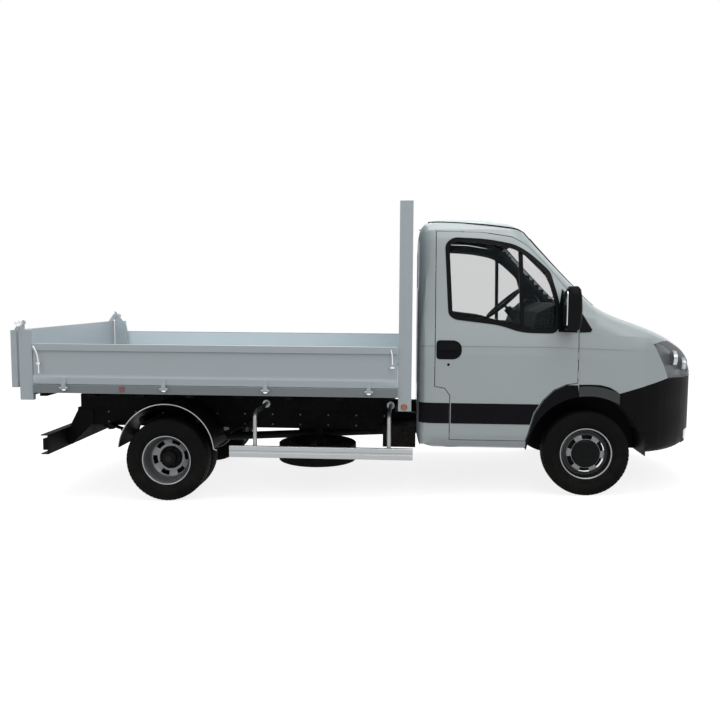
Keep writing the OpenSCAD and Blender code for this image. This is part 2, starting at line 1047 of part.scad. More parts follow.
module along_column() {
    translate(wheel_hub)
        rotate([0, column_tilt, 0])
            children();
}

module steering_wheel() {
    color("black")
        leaning()
            along_column() {
                rotate_extrude()
                    translate([wheel_ring_r, 0])
                        circle(r = 14, $fn = 24);
                translate([0, 0, -28])
                    cylinder(r = 62, h = 34);
                for (a = [0, 180, 270])
                    rotate([0, 0, a])
                        block([50, -16, -10], [wheel_ring_r - 6, 16, 4]);
                translate([0, 0, -320])
                    cylinder(r = column_r, h = 300);
            }
}

module seat(y0, y1) {
    leaning() {
        side_slab(y0, y1, [
            [cab_x + 330, 930], [cab_x + 860, 930], [cab_x + 890, 1100], [cab_x + 860, 1130],
            [cab_x + 420, 1090], [cab_x + 300, 1600], [cab_x + 210, 1620], [cab_x + 170, 1590]]);
        block([cab_x + 350, y0 + 40, floor_top], [cab_x + 820, y1 - 40, 930]);
    }
}

module driver_seat() {
    color("dimgray")
        seat(150, 650);
}

module passenger_bench() {
    color("dimgray")
        seat(-850, -20);
}

// ---- Doors ----

module door(side) {
    color("white")
        leaning()
            on_side(side)
                difference() {
                    union() {
                        intersection() {
                            cab_shell(door_t);
                            side_slab(650, cab_reach, door_outline);
                        }
                        at_door_hinges()
                            hinge_eye();
                    }
                    side_slab(600, cab_reach + 1, window_outline);
                    at_door_hinges()
                        hinge_leaf_room();
                }
}

module door_glass(side) {
    color("lightblue", 0.4)
        leaning()
            on_side(side)
                intersection() {
                    difference() {
                        cab_form(26);
                        cab_form(26 + glass_t);
                    }
                    side_slab(650, cab_reach, window_outline);
                }
}

mirror_x = [front_x - 232, front_x - 108];
mirror_y = [1040, 1230];

module door_mirror(side) {
    color("black")
        leaning()
            on_side(side) {
                block([mirror_x[0], mirror_y[0], 1470], [mirror_x[1], mirror_y[1], 1812]);
                difference() {
                    block([mirror_x[0] + 20, 900, 1475], [mirror_x[1] - 12, mirror_y[0] + 1, 1540]);
                    cab_form(0);
                }
            }
}

// ---- Tipping bed ----

bearer_w = 60;
bearers = 8;
bearer_x0 = -bed_tail + post_d + 60;
bearer_x = [for (i = [0 : bearers - 1])
    bearer_x0 + i * (head_back - 70 - bearer_x0) / (bearers - 1)];
sill_w = 60;

module bed_floor() {
    color("white")
        leaning() {
            block([-bed_tail, -bed_half + sill_w, bed_z - bed_floor_t],
                  [head_back, bed_half - sill_w, bed_z]);
            both_sides() {
                block([-bed_tail + post_d, bed_half - sill_w, bed_z - 74],
                      [head_back, bed_half, bed_z - 5]);
                block([-bed_tail, bed_half - 52, 852], [-bed_tail + post_d, bed_half - 10, gate_top]);
                block([-bed_tail, bed_half - 52, gate_top - 1],
                      [-bed_tail + 34, bed_half - 40, gate_pin[1] + 16]);
                across(gate_pin[0], gate_pin[1], 10, bed_half - 78, bed_half - 40);
                for (x = board_hinge_x)
                    for (s = [-1, 1])
                        board_knuckle(x + s * 25);
                for (x = board_hinge_x)
                    across_x(x - 34, x + 34, 6);
            }
            block([-bed_tail, -bed_half + 52, bearer_z], [-bed_tail + 60, bed_half - 52,
                                                          bed_z - bed_floor_t + 1]);
        }
}

// Hinge places along a side board
board_hinge_x = [for (i = [0 : 3]) board_x0 + 265 + i * (board_x1 - board_x0 - 490) / 3];

// A pin along X on the board's hinge line
module across_x(x0, x1, r) {
    translate([x0, board_pin[0], board_pin[1]])
        rotate([0, 90, 0])
            cylinder(r = r, h = x1 - x0, $fn = 32);
}

module board_knuckle(x) {
    block([x - 8, bed_half - 1, board_pin[1] - 9], [x + 8, board_pin[0], board_pin[1] + 9]);
    across_x(x - 8, x + 8, 9);
}

module bed_bearers() {
    color("dimgray")
        leaning() {
            for (x = bearer_x)
                block([x - bearer_w / 2, -bed_half + sill_w + 2, bearer_z],
                      [x + bearer_w / 2, bed_half - sill_w - 2, bed_z - bed_floor_t]);
            both_sides()
                difference() {
                    union() {
                        block([tip_x, rail_in, subframe_top + run_gap],
                              [head_back - 20, rail_out, bearer_z + 1]);
                        across(tip_x, tip_z, 25, rail_in, rail_out);
                    }
                    across(tip_x, tip_z, tip_pin_r + pin_play, rail_in - 1, rail_out + 1);
                }
            ram_cup();
        }
}

ball_r = 30;

// Inverted cup that rests on the ram's ball, hung from two bearers
module ram_cup() {
    top = ram_head[1] + ball_r;
    difference() {
        union() {
            translate([ram_head[0], ram_y, ram_head[1]])
                cylinder(r = ball_r + 24, h = bed_z - bed_floor_t - ram_head[1]);
            block([bearer_x[3] - 2, ram_y - 40, top + 2], [ram_head[0], ram_y + 40,
                                                           bed_z - bed_floor_t]);
            block([ram_head[0], ram_y - 40, top + 2], [bearer_x[4] + 2, ram_y + 40,
                                                       bed_z - bed_floor_t]);
        }
        translate([ram_head[0], ram_y, ram_head[1] - 1])
            cylinder(r = ball_r + 12, h = 1);
        translate([ram_head[0], ram_y, ram_head[1]])
            sphere(r = ball_r + 2);
        translate([ram_head[0], ram_y, ram_head[1] - 200])
            cylinder(r = ball_r + 12, h = 205);
    }
}

module headboard() {
    color("white")
        leaning() {
            both_sides()
                block([head_back, bed_half - 70, 803], [head_x, bed_half - 20, headboard_z]);
            difference() {
                block([head_back + 40, -bed_half + 70, bed_z], [head_back + 64, bed_half - 70,
                                                               headboard_z]);
                block([head_back, -620, 1780], [head_x, 620, 2200]);
            }
            block([head_back + 10, -bed_half + 70, headboard_z - 60],
                  [head_x - 10, bed_half - 70, headboard_z]);
            block([head_back + 10, -bed_half + 70, bed_z - 60],
                  [head_x - 10, bed_half - 70, bed_z]);
            for (y = [-520 : 130 : 520])
                block([head_back + 45, y - 8, 1779], [head_back + 59, y + 8, 2201]);
        }
}

module side_board(side) {
    y = bed_half;
    color("white")
        leaning()
            on_side(side) {
                translate([board_x0, 0, board_z0])
                    rotate([90, 0, 90])
                        linear_extrude(board_x1 - board_x0)
                            polygon([[y - board_t, 0], [y - 1, 0], [y - 1, 57], [y - 13, 86],
                                     [y - 13, board_h - 55], [y - 1, board_h - 55],
                                     [y - 1, board_h], [y - board_t, board_h]]);
                for (x = board_hinge_x)
                    difference() {
                        union() {
                            block([x - 16, y - 2, board_z0 + 4], [x + 16, y + 6, board_z0 + 50]);
                            block([x - 16, y + 4, board_pin[1]], [x + 16, board_pin[0] + 9,
                                                                 board_z0 + 12]);
                            across_x(x - 16, x + 16, 9);
                        }
                        across_x(x - 20, x + 20, 6 + pin_play);
                        block([x - 20, y - 20, board_pin[1] - 12], [x + 20, y + 5, board_z0 - 1]);
                    }
            }
}

module tailgate() {
    arm_y = bed_half - 76;
    color("white")
        leaning() {
            block([gate_x - tailgate_t, -bed_half + 15, gate_z0], [gate_x, bed_half - 15, gate_top - 2]);
            both_sides()
                difference() {
                    union() {
                        side_slab(arm_y, arm_y + 20, [
                            [gate_x - 40, gate_top - 3], [gate_x, gate_top - 3],
                            [gate_pin[0] + 4, gate_pin[1] - 20], [gate_pin[0], gate_pin[1] + 20],
                            [gate_pin[0] - 20, gate_pin[1] + 14]]);
                        across(gate_pin[0], gate_pin[1], 20, arm_y, arm_y + 20);
                    }
                    across(gate_pin[0], gate_pin[1], 10 + pin_play, arm_y - 1, arm_y + 21);
                }
        }
}

// ---- Ram: each sleeve slides in the one below ----

module along_ram() {
    leaning()
        translate([ram_foot[0], ram_y, ram_foot[1]])
            rotate([0, ram_lean, 0])
                children();
}

module tube(r_out, r_in, z0, z1) {
    translate([0, 0, z0])
        difference() {
            cylinder(r = r_out, h = z1 - z0);
            translate([0, 0, -1])
                cylinder(r = r_in, h = z1 - z0 + 2);
        }
}

ram_step = 0.3;

module ram_barrel() {
    color("dimgray")
        along_ram() {
            tube(ram_r, 66, -40, 405);
            translate([0, 0, -60])
                cylinder(r = ram_r, h = 20);
            for (s = [0, 1])
                mirror([0, s, 0])
                    across(0, 0, foot_pin_r, 69, ram_r + cradle_gap + 12);
        }
}

module ram_sleeve_1() {
    color("silver")
        along_ram()
            tube(66 - ram_step, 54, -20, 420);
}

module ram_sleeve_2() {
    color("silver")
        along_ram()
            tube(54 - ram_step, 42, -10, 435);
}

module ram_rod() {
    color("silver")
        along_ram() {
            cylinder(r = 42 - ram_step, h = 450);
            cylinder(r = 20, h = ram_len);
            translate([0, 0, ram_len])
                sphere(r = ball_r);
        }
}

chassis_rails();
crossmembers();
tipping_subframe();
underrun_beam();
front_suspension();
rear_axle();
leaf_springs();
engine();
propshaft();
exhaust();
fuel_tank();
battery_box();
spare_wheel();
spare_carrier();
mudguards();
guard_rails();
rear_lamps();
cab_floor();
cab_rear_wall();
cab_roof();
cab_sides();
windscreen();
rear_window();
cowl();
front_wings();
arch_flares();
bumper();
grille();
headlamps();
dashboard();
driver_seat();
passenger_bench();
steering_wheel();
door("right");  // door_right
door("left");  // door_left
door_glass("right");  // door_glass_right
door_glass("left");  // door_glass_left
door_mirror("right");  // mirror_right
door_mirror("left");  // mirror_left
bonnet();
knuckle_on("right");  // knuckle_right
knuckle_on("left");  // knuckle_left
front_tyre("right");  // front_tyre_right
front_tyre("left");  // front_tyre_left
front_rim("right");  // front_rim_right
front_rim("left");  // front_rim_left
rear_tyres("right");  // rear_tyres_right
rear_tyres("left");  // rear_tyres_left
rear_rims("right");  // rear_rims_right
rear_rims("left");  // rear_rims_left
bed_floor();
bed_bearers();
headboard();
side_board("right");  // side_board_right
side_board("left");  // side_board_left
tailgate();
ram_barrel();
ram_sleeve_1();
ram_sleeve_2();
ram_rod();
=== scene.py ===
"""Looks of a single-cab tipping truck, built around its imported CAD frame."""

import math

import bmesh
import bpy
import numpy as np
from mathutils import Matrix, Vector
from mathutils.geometry import delaunay_2d_cdt


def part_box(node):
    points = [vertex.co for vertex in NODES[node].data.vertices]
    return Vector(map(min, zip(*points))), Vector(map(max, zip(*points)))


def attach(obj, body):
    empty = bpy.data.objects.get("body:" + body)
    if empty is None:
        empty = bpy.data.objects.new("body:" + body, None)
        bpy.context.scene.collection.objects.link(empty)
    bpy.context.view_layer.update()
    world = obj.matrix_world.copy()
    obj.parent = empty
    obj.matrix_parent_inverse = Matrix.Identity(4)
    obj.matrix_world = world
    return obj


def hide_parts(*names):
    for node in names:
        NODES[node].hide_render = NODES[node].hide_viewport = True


bl_info = {
    "name": "Tipping truck",
    "version": (1, 0, 0),
    "blender": (4, 5, 0),
    "location": "View3D > Sidebar > Truck",
    "description": "Builds the looks of a single-cab tipping truck around its CAD frame",
    "category": "Object",
}

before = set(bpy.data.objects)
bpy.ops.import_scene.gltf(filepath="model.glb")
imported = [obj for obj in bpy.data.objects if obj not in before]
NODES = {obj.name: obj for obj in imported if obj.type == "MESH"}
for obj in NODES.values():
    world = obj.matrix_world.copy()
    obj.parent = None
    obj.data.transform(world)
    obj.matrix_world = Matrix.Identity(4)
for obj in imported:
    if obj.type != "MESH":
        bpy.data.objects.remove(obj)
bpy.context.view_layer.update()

# ---- Places, in millimetres along and above the leaning chassis ----

MM = 0.001
RAKE = math.radians(2)


def middle(node):
    low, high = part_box(node)
    return (low + high) / 2


REAR_AXLE, FRONT_AXLE = middle("rear_tyres_right"), middle("front_tyre_right")
TYRE_R = (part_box("front_tyre_right")[1].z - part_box("front_tyre_right")[0].z) / 2 / MM
TYRE_W = (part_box("front_tyre_right")[1].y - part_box("front_tyre_right")[0].y) / MM
WHEELBASE = (FRONT_AXLE.x - REAR_AXLE.x) / MM
FX = WHEELBASE * math.cos(RAKE) - TYRE_R * math.sin(RAKE)
FZ = WHEELBASE * math.sin(RAKE) + TYRE_R * math.cos(RAKE)
CAB_X = FX - 1366
CAB_HALF = 995
BED_HALF = 1070
BED_TAIL = -1205
HEAD_X = CAB_X - 44
HEAD_BACK = HEAD_X - 106
BOARD_X0, BOARD_X1 = BED_TAIL + 116, HEAD_BACK - 10
SHUT_GAP = 6
ARCH_R = 475


def level(points):
    """Level millimetres from the rear axle's ground point to metres in the row frame."""
    p = np.atleast_2d(np.asarray(points, float)) * MM
    p[:, 0] += REAR_AXLE.x
    return p


def lean(points):
    """Leaning millimetres to metres in the row frame."""
    p = np.atleast_2d(np.asarray(points, float))
    c, s = math.cos(RAKE), math.sin(RAKE)
    return level(np.stack([p[:, 0] * c + p[:, 2] * s, p[:, 1], p[:, 2] * c - p[:, 0] * s], 1))


def unlean(points):
    """Metres in the row frame to leaning millimetres."""
    p = np.array(points, float)
    p[:, 0] -= REAR_AXLE.x
    p /= MM
    c, s = math.cos(RAKE), math.sin(RAKE)
    return np.stack([p[:, 0] * c - p[:, 2] * s, p[:, 1], p[:, 2] * c + p[:, 0] * s], 1)


# ---- The cab's form: a side outline, a section and a plan, all rounded ----

SIDE = [(-1366, 470), (905, 470), (985, 640), (1005, 820), (1000, 985), (970, 1090),
        (905, 1215), (790, 1330), (600, 1425), (400, 1505), (194, 1578), (46, 1655),
        (-240, 1945), (-430, 2155), (-540, 2275), (-660, 2325), (-900, 2358),
        (-1180, 2372), (-1300, 2368), (-1366, 2290)]
SECTION = [(430, 40), (600, 12), (900, 3), (1330, 0), (1420, 14), (1560, 38), (2190, 114),
           (2270, 140), (2330, 190), (2362, 270), (2378, 420)]
PLAN = [(-1366, -60), (-1296, 10), (300, 10), (420, 0), (560, -45), (670, -115),
        (800, -240), (900, -390), (970, -560), (1019, -840)]
DOOR = [(-1098, 567), (-492, 567), (-470, 640), (-425, 800), (-360, 905), (-280, 985),
        (-180, 1032), (-91, 1046), (-91, 1700), (-230, 1862), (-336, 2006), (-476, 2136),
        (-616, 2203), (-846, 2238), (-1221, 2250), (-1221, 1005), (-1140, 990), (-1098, 930)]
WINDOW = [(-1100, 1590), (-1060, 1562), (-700, 1520), (-540, 1462), (-270, 1458),
          (-250, 1640), (-330, 1912), (-360, 1945), (-490, 2060), (-600, 2125),
          (-820, 2168), (-1080, 2180), (-1130, 2140)]


def from_front(points):
    return [(FX + x, z) for x, z in points]


def rounded(points, gentle=400.0, sharp=14.0, count=8):
    """A closed outline with each corner turned into a short parabola."""
    p = np.asarray(points, float)
    out = []
    for i in range(len(p)):
        a, b, c = p[i - 1], p[i], p[(i + 1) % len(p)]
        u, v = a - b, c - b
        lu, lv = np.linalg.norm(u), np.linalg.norm(v)
        turn = math.degrees(math.acos(np.clip(-u @ v / lu / lv, -1, 1)))
        d = min(0.48 * lu, 0.48 * lv, gentle if turn < 50 else sharp)
        start, end = b + u / lu * d, b + v / lv * d
        for t in np.linspace(0, 1, count):
            out.append((1 - t) ** 2 * start + 2 * t * (1 - t) * b + t * t * end)
    return np.array(out)


class Outline:
    """A closed outline that measures distance, less than nothing inside."""

    def __init__(self, points):
        self.a = np.asarray(points, float)
        keep = np.linalg.norm(self.a - np.roll(self.a, -1, 0), axis=1) > 1e-6
        self.a = self.a[keep]
        self.e = np.roll(self.a, -1, 0) - self.a
        self.ee = (self.e ** 2).sum(1)

    def measure(self, q):
        dist, slope = np.empty(len(q)), np.empty((len(q), 2))
        for k in range(0, len(q), 4000):
            p = q[k:k + 4000]
            d = p[:, None] - self.a
            t = np.clip((d * self.e).sum(2) / self.ee, 0, 1)
            near = d - t[:, :, None] * self.e
            far = (near ** 2).sum(2)
            i = far.argmin(1)
            rows = np.arange(len(p))
            v = near[rows, i]
            r = np.sqrt(far[rows, i])
            above = self.a[:, 1] > p[:, 1:2]
            other = np.roll(self.a[:, 1], -1) > p[:, 1:2]
            with np.errstate(divide="ignore", invalid="ignore"):
                cross = self.a[:, 0] + (p[:, 1:2] - self.a[:, 1]) * self.e[:, 0] / self.e[:, 1]
            inside = ((above != other) & (p[:, :1] < cross)).sum(1) % 2 == 1
            sign = np.where(inside, -1.0, 1.0)
            normal = np.stack([self.e[i, 1], -self.e[i, 0]], 1)
            normal /= np.linalg.norm(normal, axis=1)[:, None]
            area = np.cross(self.a, np.roll(self.a, -1, 0)).sum()
            g = np.where(r[:, None] > 1e-3, v * (sign / np.maximum(r, 1e-9))[:, None],
                         normal * np.sign(area))
            dist[k:k + 4000], slope[k:k + 4000] = r * sign, g
        return dist, slope

    def holds(self, q):
        return self.measure(np.atleast_2d(q))[0] < 0


def cab_outlines(shape):
    section = [(CAB_HALF - inset, z) for z, inset in SECTION] + [(-500, 2378), (-500, 430)]
    plan = [(FX + x, CAB_HALF + w) for x, w in reversed(PLAN)] + [(CAB_X, -500), (FX + 1019, -500)]
    return [Outline(shape(points)) for points in (from_front(SIDE), section, plan)]


HARD, SOFT = cab_outlines(lambda p: p), cab_outlines(rounded)


def blend_max(a, b, k):
    """Smooth maximum of two (distance, gradient) pairs, with a blend width of k."""
    k = np.maximum(k * (1 - np.clip((a[1] * b[1]).sum(1), 0, 1)), 1e-3)
    m = np.clip(0.5 + 0.5 * (a[0] - b[0]) / k, 0, 1)
    return (b[0] + (a[0] - b[0]) * m + k * m * (1 - m),
            b[1] + (a[1] - b[1]) * m[:, None])


def cab_level(p, outlines, width):
    """Distance from the cab's skin in leaning millimetres, and its gradient."""
    side, flip = np.abs(p[:, 1]), np.where(p[:, 1] < 0, -1.0, 1.0)
    d0, g0 = outlines[0].measure(p[:, [0, 2]])
    d1, g1 = outlines[1].measure(np.stack([side, p[:, 2]], 1))
    d2, g2 = outlines[2].measure(np.stack([p[:, 0], side], 1))
    none = np.zeros(len(p))
    a = (d0, np.stack([g0[:, 0], none, g0[:, 1]], 1))
    b = (d1, np.stack([none, g1[:, 0] * flip, g1[:, 1]], 1))
    c = (d2, np.stack([g2[:, 0], g2[:, 1] * flip, none], 1))
    return blend_max(blend_max(b, c, width), a, width)


def soften(p, width):
    """Moves points of the flat-sided cab form to the rounded one, at the same depth."""
    was, _ = cab_level(p, HARD, 1e-3)
    share = np.clip((was + 200) / 130, 0, 1)
    q = p.copy()
    for _ in range(3):
        now, g = cab_level(q, SOFT, width)
        q -= g * ((now - was) * share / np.maximum((g ** 2).sum(1), 0.3))[:, None]
    return q, was


def on_skin(p, axis, proud, width):
    """Slides points along one axis from far outside until they stand proud of the skin."""
    p = np.atleast_2d(np.asarray(p, float)).copy()
    inside = p.copy()
    inside[:, axis] = {0: FX - 900, 1: 0, 2: 900}[axis]
    for _ in range(22):
        mid = (p + inside) / 2
        out = (cab_level(mid, SOFT, width)[0] > proud)[:, None]
        p, inside = np.where(out, mid, p), np.where(out, inside, mid)
    return p


# ---- Mesh helpers ----


class Form:
    """Collects closed shapes in millimetres and turns them into one piece."""

    def __init__(self, place=lean):
        self.place, self.v, self.f, self.m, self.n = place, [], [], [], 0

    def add(self, verts, faces, mat=0):
        verts = self.place(verts)
        self.v.append(verts)
        self.f += [[i + self.n for i in face] for face in faces]
        self.m += [mat] * len(faces)
        self.n += len(verts)
        return self

    def rings(self, rings, mat=0, closed=False, caps=True):
        """Joins rings of equal length into a skin."""
        n, count = len(rings[0]), len(rings)
        faces = [[r * n + i, r * n + (i + 1) % n, (r + 1) % count * n + (i + 1) % n,
                  (r + 1) % count * n + i]
                 for r in range(count if closed else count - 1) for i in range(n)]
        if caps and not closed:
            faces += [list(range(n))[::-1], [(count - 1) * n + i for i in range(n)]]
        return self.add(np.concatenate(rings), faces, mat)

    def box(self, low, high, mat=0):
        (a, b, c), (d, e, f) = low, high
        return self.rings([np.array([(x, b, c), (x, e, c), (x, e, f), (x, b, f)])
                           for x in (a, d)], mat)

    def slab(self, outline, y0, y1, mat=0):
        """A side-view outline given thickness across the truck."""
        o = np.asarray(outline, float)
        return self.rings([np.stack([o[:, 0], np.full(len(o), y), o[:, 1]], 1)
                           for y in (y0, y1)], mat)

    def tube(self, path, r, mat=0, n=12, closed=False, flat=1.0):
        """A round bar along a path."""
        p = np.asarray(path, float)
        ahead = np.roll(p, -1, 0) - np.roll(p, 1, 0)
        if not closed:
            ahead[0], ahead[-1] = p[1] - p[0], p[-1] - p[-2]
        rings, up = [], None
        radii = np.broadcast_to(r, len(p))
        for point, along, radius in zip(p, ahead, radii):
            along = along / np.linalg.norm(along)
            if up is None:
                up = np.array((0, 0, 1.0)) if abs(along[2]) < 0.9 else np.array((0, 1.0, 0))
            side = np.cross(along, up)
            side /= np.linalg.norm(side)
            up = np.cross(side, along)
            a = np.linspace(0, 2 * np.pi, n, endpoint=False)[:, None]
            rings.append(point + radius * (np.cos(a) * side * flat + np.sin(a) * up))
        return self.rings(rings, mat, closed)

    def lathe(self, profile, centre, mat=0, n=64, axis=1, closed=False):
        """Turns (radius, along) points round an axis of the truck."""
        a = np.linspace(0, 2 * np.pi, n, endpoint=False)
        u, w = {0: (1, 2), 1: (0, 2), 2: (0, 1)}[axis]
        rings = []
        for r, y in profile:
            ring = np.zeros((n, 3))
            ring[:, u], ring[:, w], ring[:, axis] = r * np.cos(a), r * np.sin(a), y
            rings.append(ring + np.asarray(centre, float))
        return self.rings(rings, mat, closed)

    def make(self, name, materials, body, slot=None, bevel=0.0, stands_for=(), angle=35):
        mesh = bpy.data.meshes.new(name)
        mesh.from_pydata(np.concatenate(self.v).tolist(), [], self.f)
        piece = bpy.data.objects.new(name, mesh)
        bpy.context.collection.objects.link(piece)
        for i, face in enumerate(mesh.polygons):
            face.material_index = self.m[i]
        bm = bmesh.new()
        bm.from_mesh(mesh)
        bmesh.ops.recalc_face_normals(bm, faces=bm.faces)
        bm.to_mesh(mesh)
        bm.free()
        return dress(piece, materials, body, slot, bevel, stands_for, angle)


def dress(piece, materials, body, slot=None, bevel=0.0, stands_for=(), angle=35):
    """Gives a mesh its materials, smooth shading, rounded edges and body."""
    for material in materials if isinstance(materials, (list, tuple)) else [materials]:
        piece.data.materials.append(material)
    smooth(piece.data, angle)
    if bevel:
        edge(piece, bevel, angle)
    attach(piece, body)
    if stands_for:
        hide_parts(*stands_for)
    return piece


def smooth(mesh, angle):
    mesh.polygons.foreach_set("use_smooth", [True] * len(mesh.polygons))
    bm = bmesh.new()
    bm.from_mesh(mesh)
    for e in bm.edges:
        e.smooth = len(e.link_faces) == 2 and e.calc_face_angle(0) < math.radians(angle)
    bm.to_mesh(mesh)
    bm.free()


def edge(piece, width, angle=35, segments=2):
    bevel = piece.modifiers.new("Rounded edges", "BEVEL")
    bevel.width, bevel.segments = width * MM, segments
    bevel.limit_method, bevel.angle_limit = "ANGLE", math.radians(angle)
    bevel.use_clamp_overlap, bevel.harden_normals = True, False
    bevel.miter_outer = "MITER_ARC"
    weigh = piece.modifiers.new("Flat faces", "WEIGHTED_NORMAL")
    weigh.keep_sharp, weigh.weight = False, 80


def even(points, step, closed=True):
    """Points at even steps along an outline, its corners kept."""
    p = np.asarray(points, float)
    out = []
    for i in range(len(p) if closed else len(p) - 1):
        a, b = p[i], p[(i + 1) % len(p)]
        n = max(1, int(np.ceil(np.linalg.norm(b - a) / step)))
        out += [a + (b - a) * t / n for t in range(n)]
    return np.array(out if closed else out + [p[-1]])


def grown(points, d):
    """Moves every edge of an anticlockwise outline outwards."""
    p = np.asarray(points, float)
    out = []
    for i in range(len(p)):
        a, b, c = p[i - 1], p[i], p[(i + 1) % len(p)]
        u, v = (b - a) / np.linalg.norm(b - a), (c - b) / np.linalg.norm(c - b)
        n1, n2 = np.array((u[1], -u[0])), np.array((v[1], -v[0]))
        out.append(b + (n1 + n2) * d / max(1 + n1 @ n2, 0.3))
    return np.array(out)


def sheet_of(outline, holes=(), step=30.0):
    """Triangles inside an outline and outside its holes, with points on a grid."""
    loops = [np.asarray(o, float) for o in (outline, *holes)]
    fields = [Outline(o) for o in loops]
    low, high = loops[0].min(0), loops[0].max(0)
    xs, zs = np.arange(low[0], high[0], step), np.arange(low[1], high[1], step)
    grid = np.array([(x, z) for x in xs + step / 2 for z in zs + step / 2] or [(0, 0)], float)
    keep = fields[0].measure(grid)[0] < -0.35 * step
    for f in fields[1:]:
        keep &= f.measure(grid)[0] > 0.35 * step
    verts = np.concatenate(loops + [grid[keep]])
    edges, start = [], 0
    for o in loops:
        edges += [(start + i, start + (i + 1) % len(o)) for i in range(len(o))]
        start += len(o)
    v, _, f, _, _, _ = delaunay_2d_cdt([Vector(p) for p in verts], edges, [], 0, 1e-5)
    v = np.array([tuple(p) for p in v])
    centre = np.array([v[list(t)].mean(0) for t in f])
    good = fields[0].holds(centre)
    for field in fields[1:]:
        good &= ~field.holds(centre)
    return v, [list(t) for t, ok in zip(f, good) if ok]


def thick(form, outer, inner, faces, mat=0):
    """A closed wall between two copies of the same sheet."""
    used = sorted({i for f in faces for i in f})
    number = {old: new for new, old in enumerate(used)}
    faces = [[number[i] for i in f] for f in faces]
    n = len(used)
    count = {}
    for f in faces:
        for i in range(len(f)):
            e = (f[i], f[(i + 1) % len(f)])
            count[e] = count.get(e, 0) + 1
    rim = [e for e in count if (e[1], e[0]) not in count]
    form.add(np.concatenate([outer[used], inner[used]]),
             faces + [[i + n for i in f[::-1]] for f in faces]
             + [[a + n, b + n, b, a] for a, b in rim], mat)
    return form


def skin_patch(form, outline, side, proud, depth, holes=(), step=30.0, mat=0, axis=1, width=160):
    """A plate that follows the cab's skin; outline in (x, z), or (y, z) from the front."""
    v, faces = sheet_of(outline, holes, step)
    if axis == 1:
        p = np.stack([v[:, 0], np.full(len(v), side * 1300.0), v[:, 1]], 1)
    elif axis == 0:
        p = np.stack([np.full(len(v), FX + 1300.0), v[:, 0], v[:, 1]], 1)
    else:
        p = np.stack([v[:, 0], v[:, 1], np.full(len(v), 2700.0)], 1)
    outer = on_skin(p, axis, proud, width)
    g = cab_level(outer, SOFT, width)[1]
    inner = outer - depth * g / np.linalg.norm(g, axis=1)[:, None]
    return thick(form, outer, inner, faces, mat)


def cad_copy(node):
    """A merged copy of a CAD node's mesh, in leaning millimetres."""
    bm = bmesh.new()
    bm.from_mesh(NODES[node].data)
    bmesh.ops.remove_doubles(bm, verts=bm.verts, dist=2e-5)
    p = unlean([v.co for v in bm.verts])
    for v, co in zip(bm.verts, p):
        v.co = co
    bmesh.ops.dissolve_limit(bm, angle_limit=math.radians(0.4), verts=bm.verts, edges=bm.edges)
    return bm


def array_tree(name, ring):
    """Geometry nodes that repeat a mesh along a line, or round a ring."""
    tree = bpy.data.node_groups.new(name, "GeometryNodeTree")
    add, link = tree.nodes.new, tree.links.new
    face = tree.interface
    face.new_socket("Geometry", in_out="INPUT", socket_type="NodeSocketGeometry")
    face.new_socket("Count", in_out="INPUT", socket_type="NodeSocketInt")
    face.new_socket("Centre", in_out="INPUT", socket_type="NodeSocketVector")
    face.new_socket("Step", in_out="INPUT", socket_type="NodeSocketVector")
    face.new_socket("Material", in_out="INPUT", socket_type="NodeSocketMaterial")
    face.new_socket("Geometry", in_out="OUTPUT", socket_type="NodeSocketGeometry")
    given, out = add("NodeGroupInput"), add("NodeGroupOutput")
    points, index = add("GeometryNodePoints"), add("GeometryNodeInputIndex")
    place, turn = add("GeometryNodeInstanceOnPoints"), add("ShaderNodeVectorMath")
    turn.operation = "SCALE"
    link(given.outputs["Count"], points.inputs["Count"])
    link(given.outputs["Step"], turn.inputs[0])
    link(index.outputs[0], turn.inputs["Scale"])
    link(points.outputs[0], place.inputs["Points"])
    if ring:
        home = add("GeometryNodeTransform")
        away = add("ShaderNodeVectorMath")
        away.operation = "SCALE"
        away.inputs["Scale"].default_value = -1
        link(given.outputs["Centre"], away.inputs[0])
        link(away.outputs[0], home.inputs["Translation"])
        link(given.outputs["Geometry"], home.inputs["Geometry"])
        link(home.outputs[0], place.inputs["Instance"])
        link(given.outputs["Centre"], points.inputs["Position"])
        euler = add("FunctionNodeEulerToRotation")
        link(turn.outputs[0], euler.inputs[0])
        link(euler.outputs[0], place.inputs["Rotation"])
    else:
        link(given.outputs["Geometry"], place.inputs["Instance"])
        link(turn.outputs[0], points.inputs["Position"])
    real, paint = add("GeometryNodeRealizeInstances"), add("GeometryNodeSetMaterial")
    link(place.outputs[0], real.inputs[0])
    link(real.outputs[0], paint.inputs["Geometry"])
    link(given.outputs["Material"], paint.inputs["Material"])
    link(paint.outputs[0], out.inputs[0])
    return tree


TREES = {}


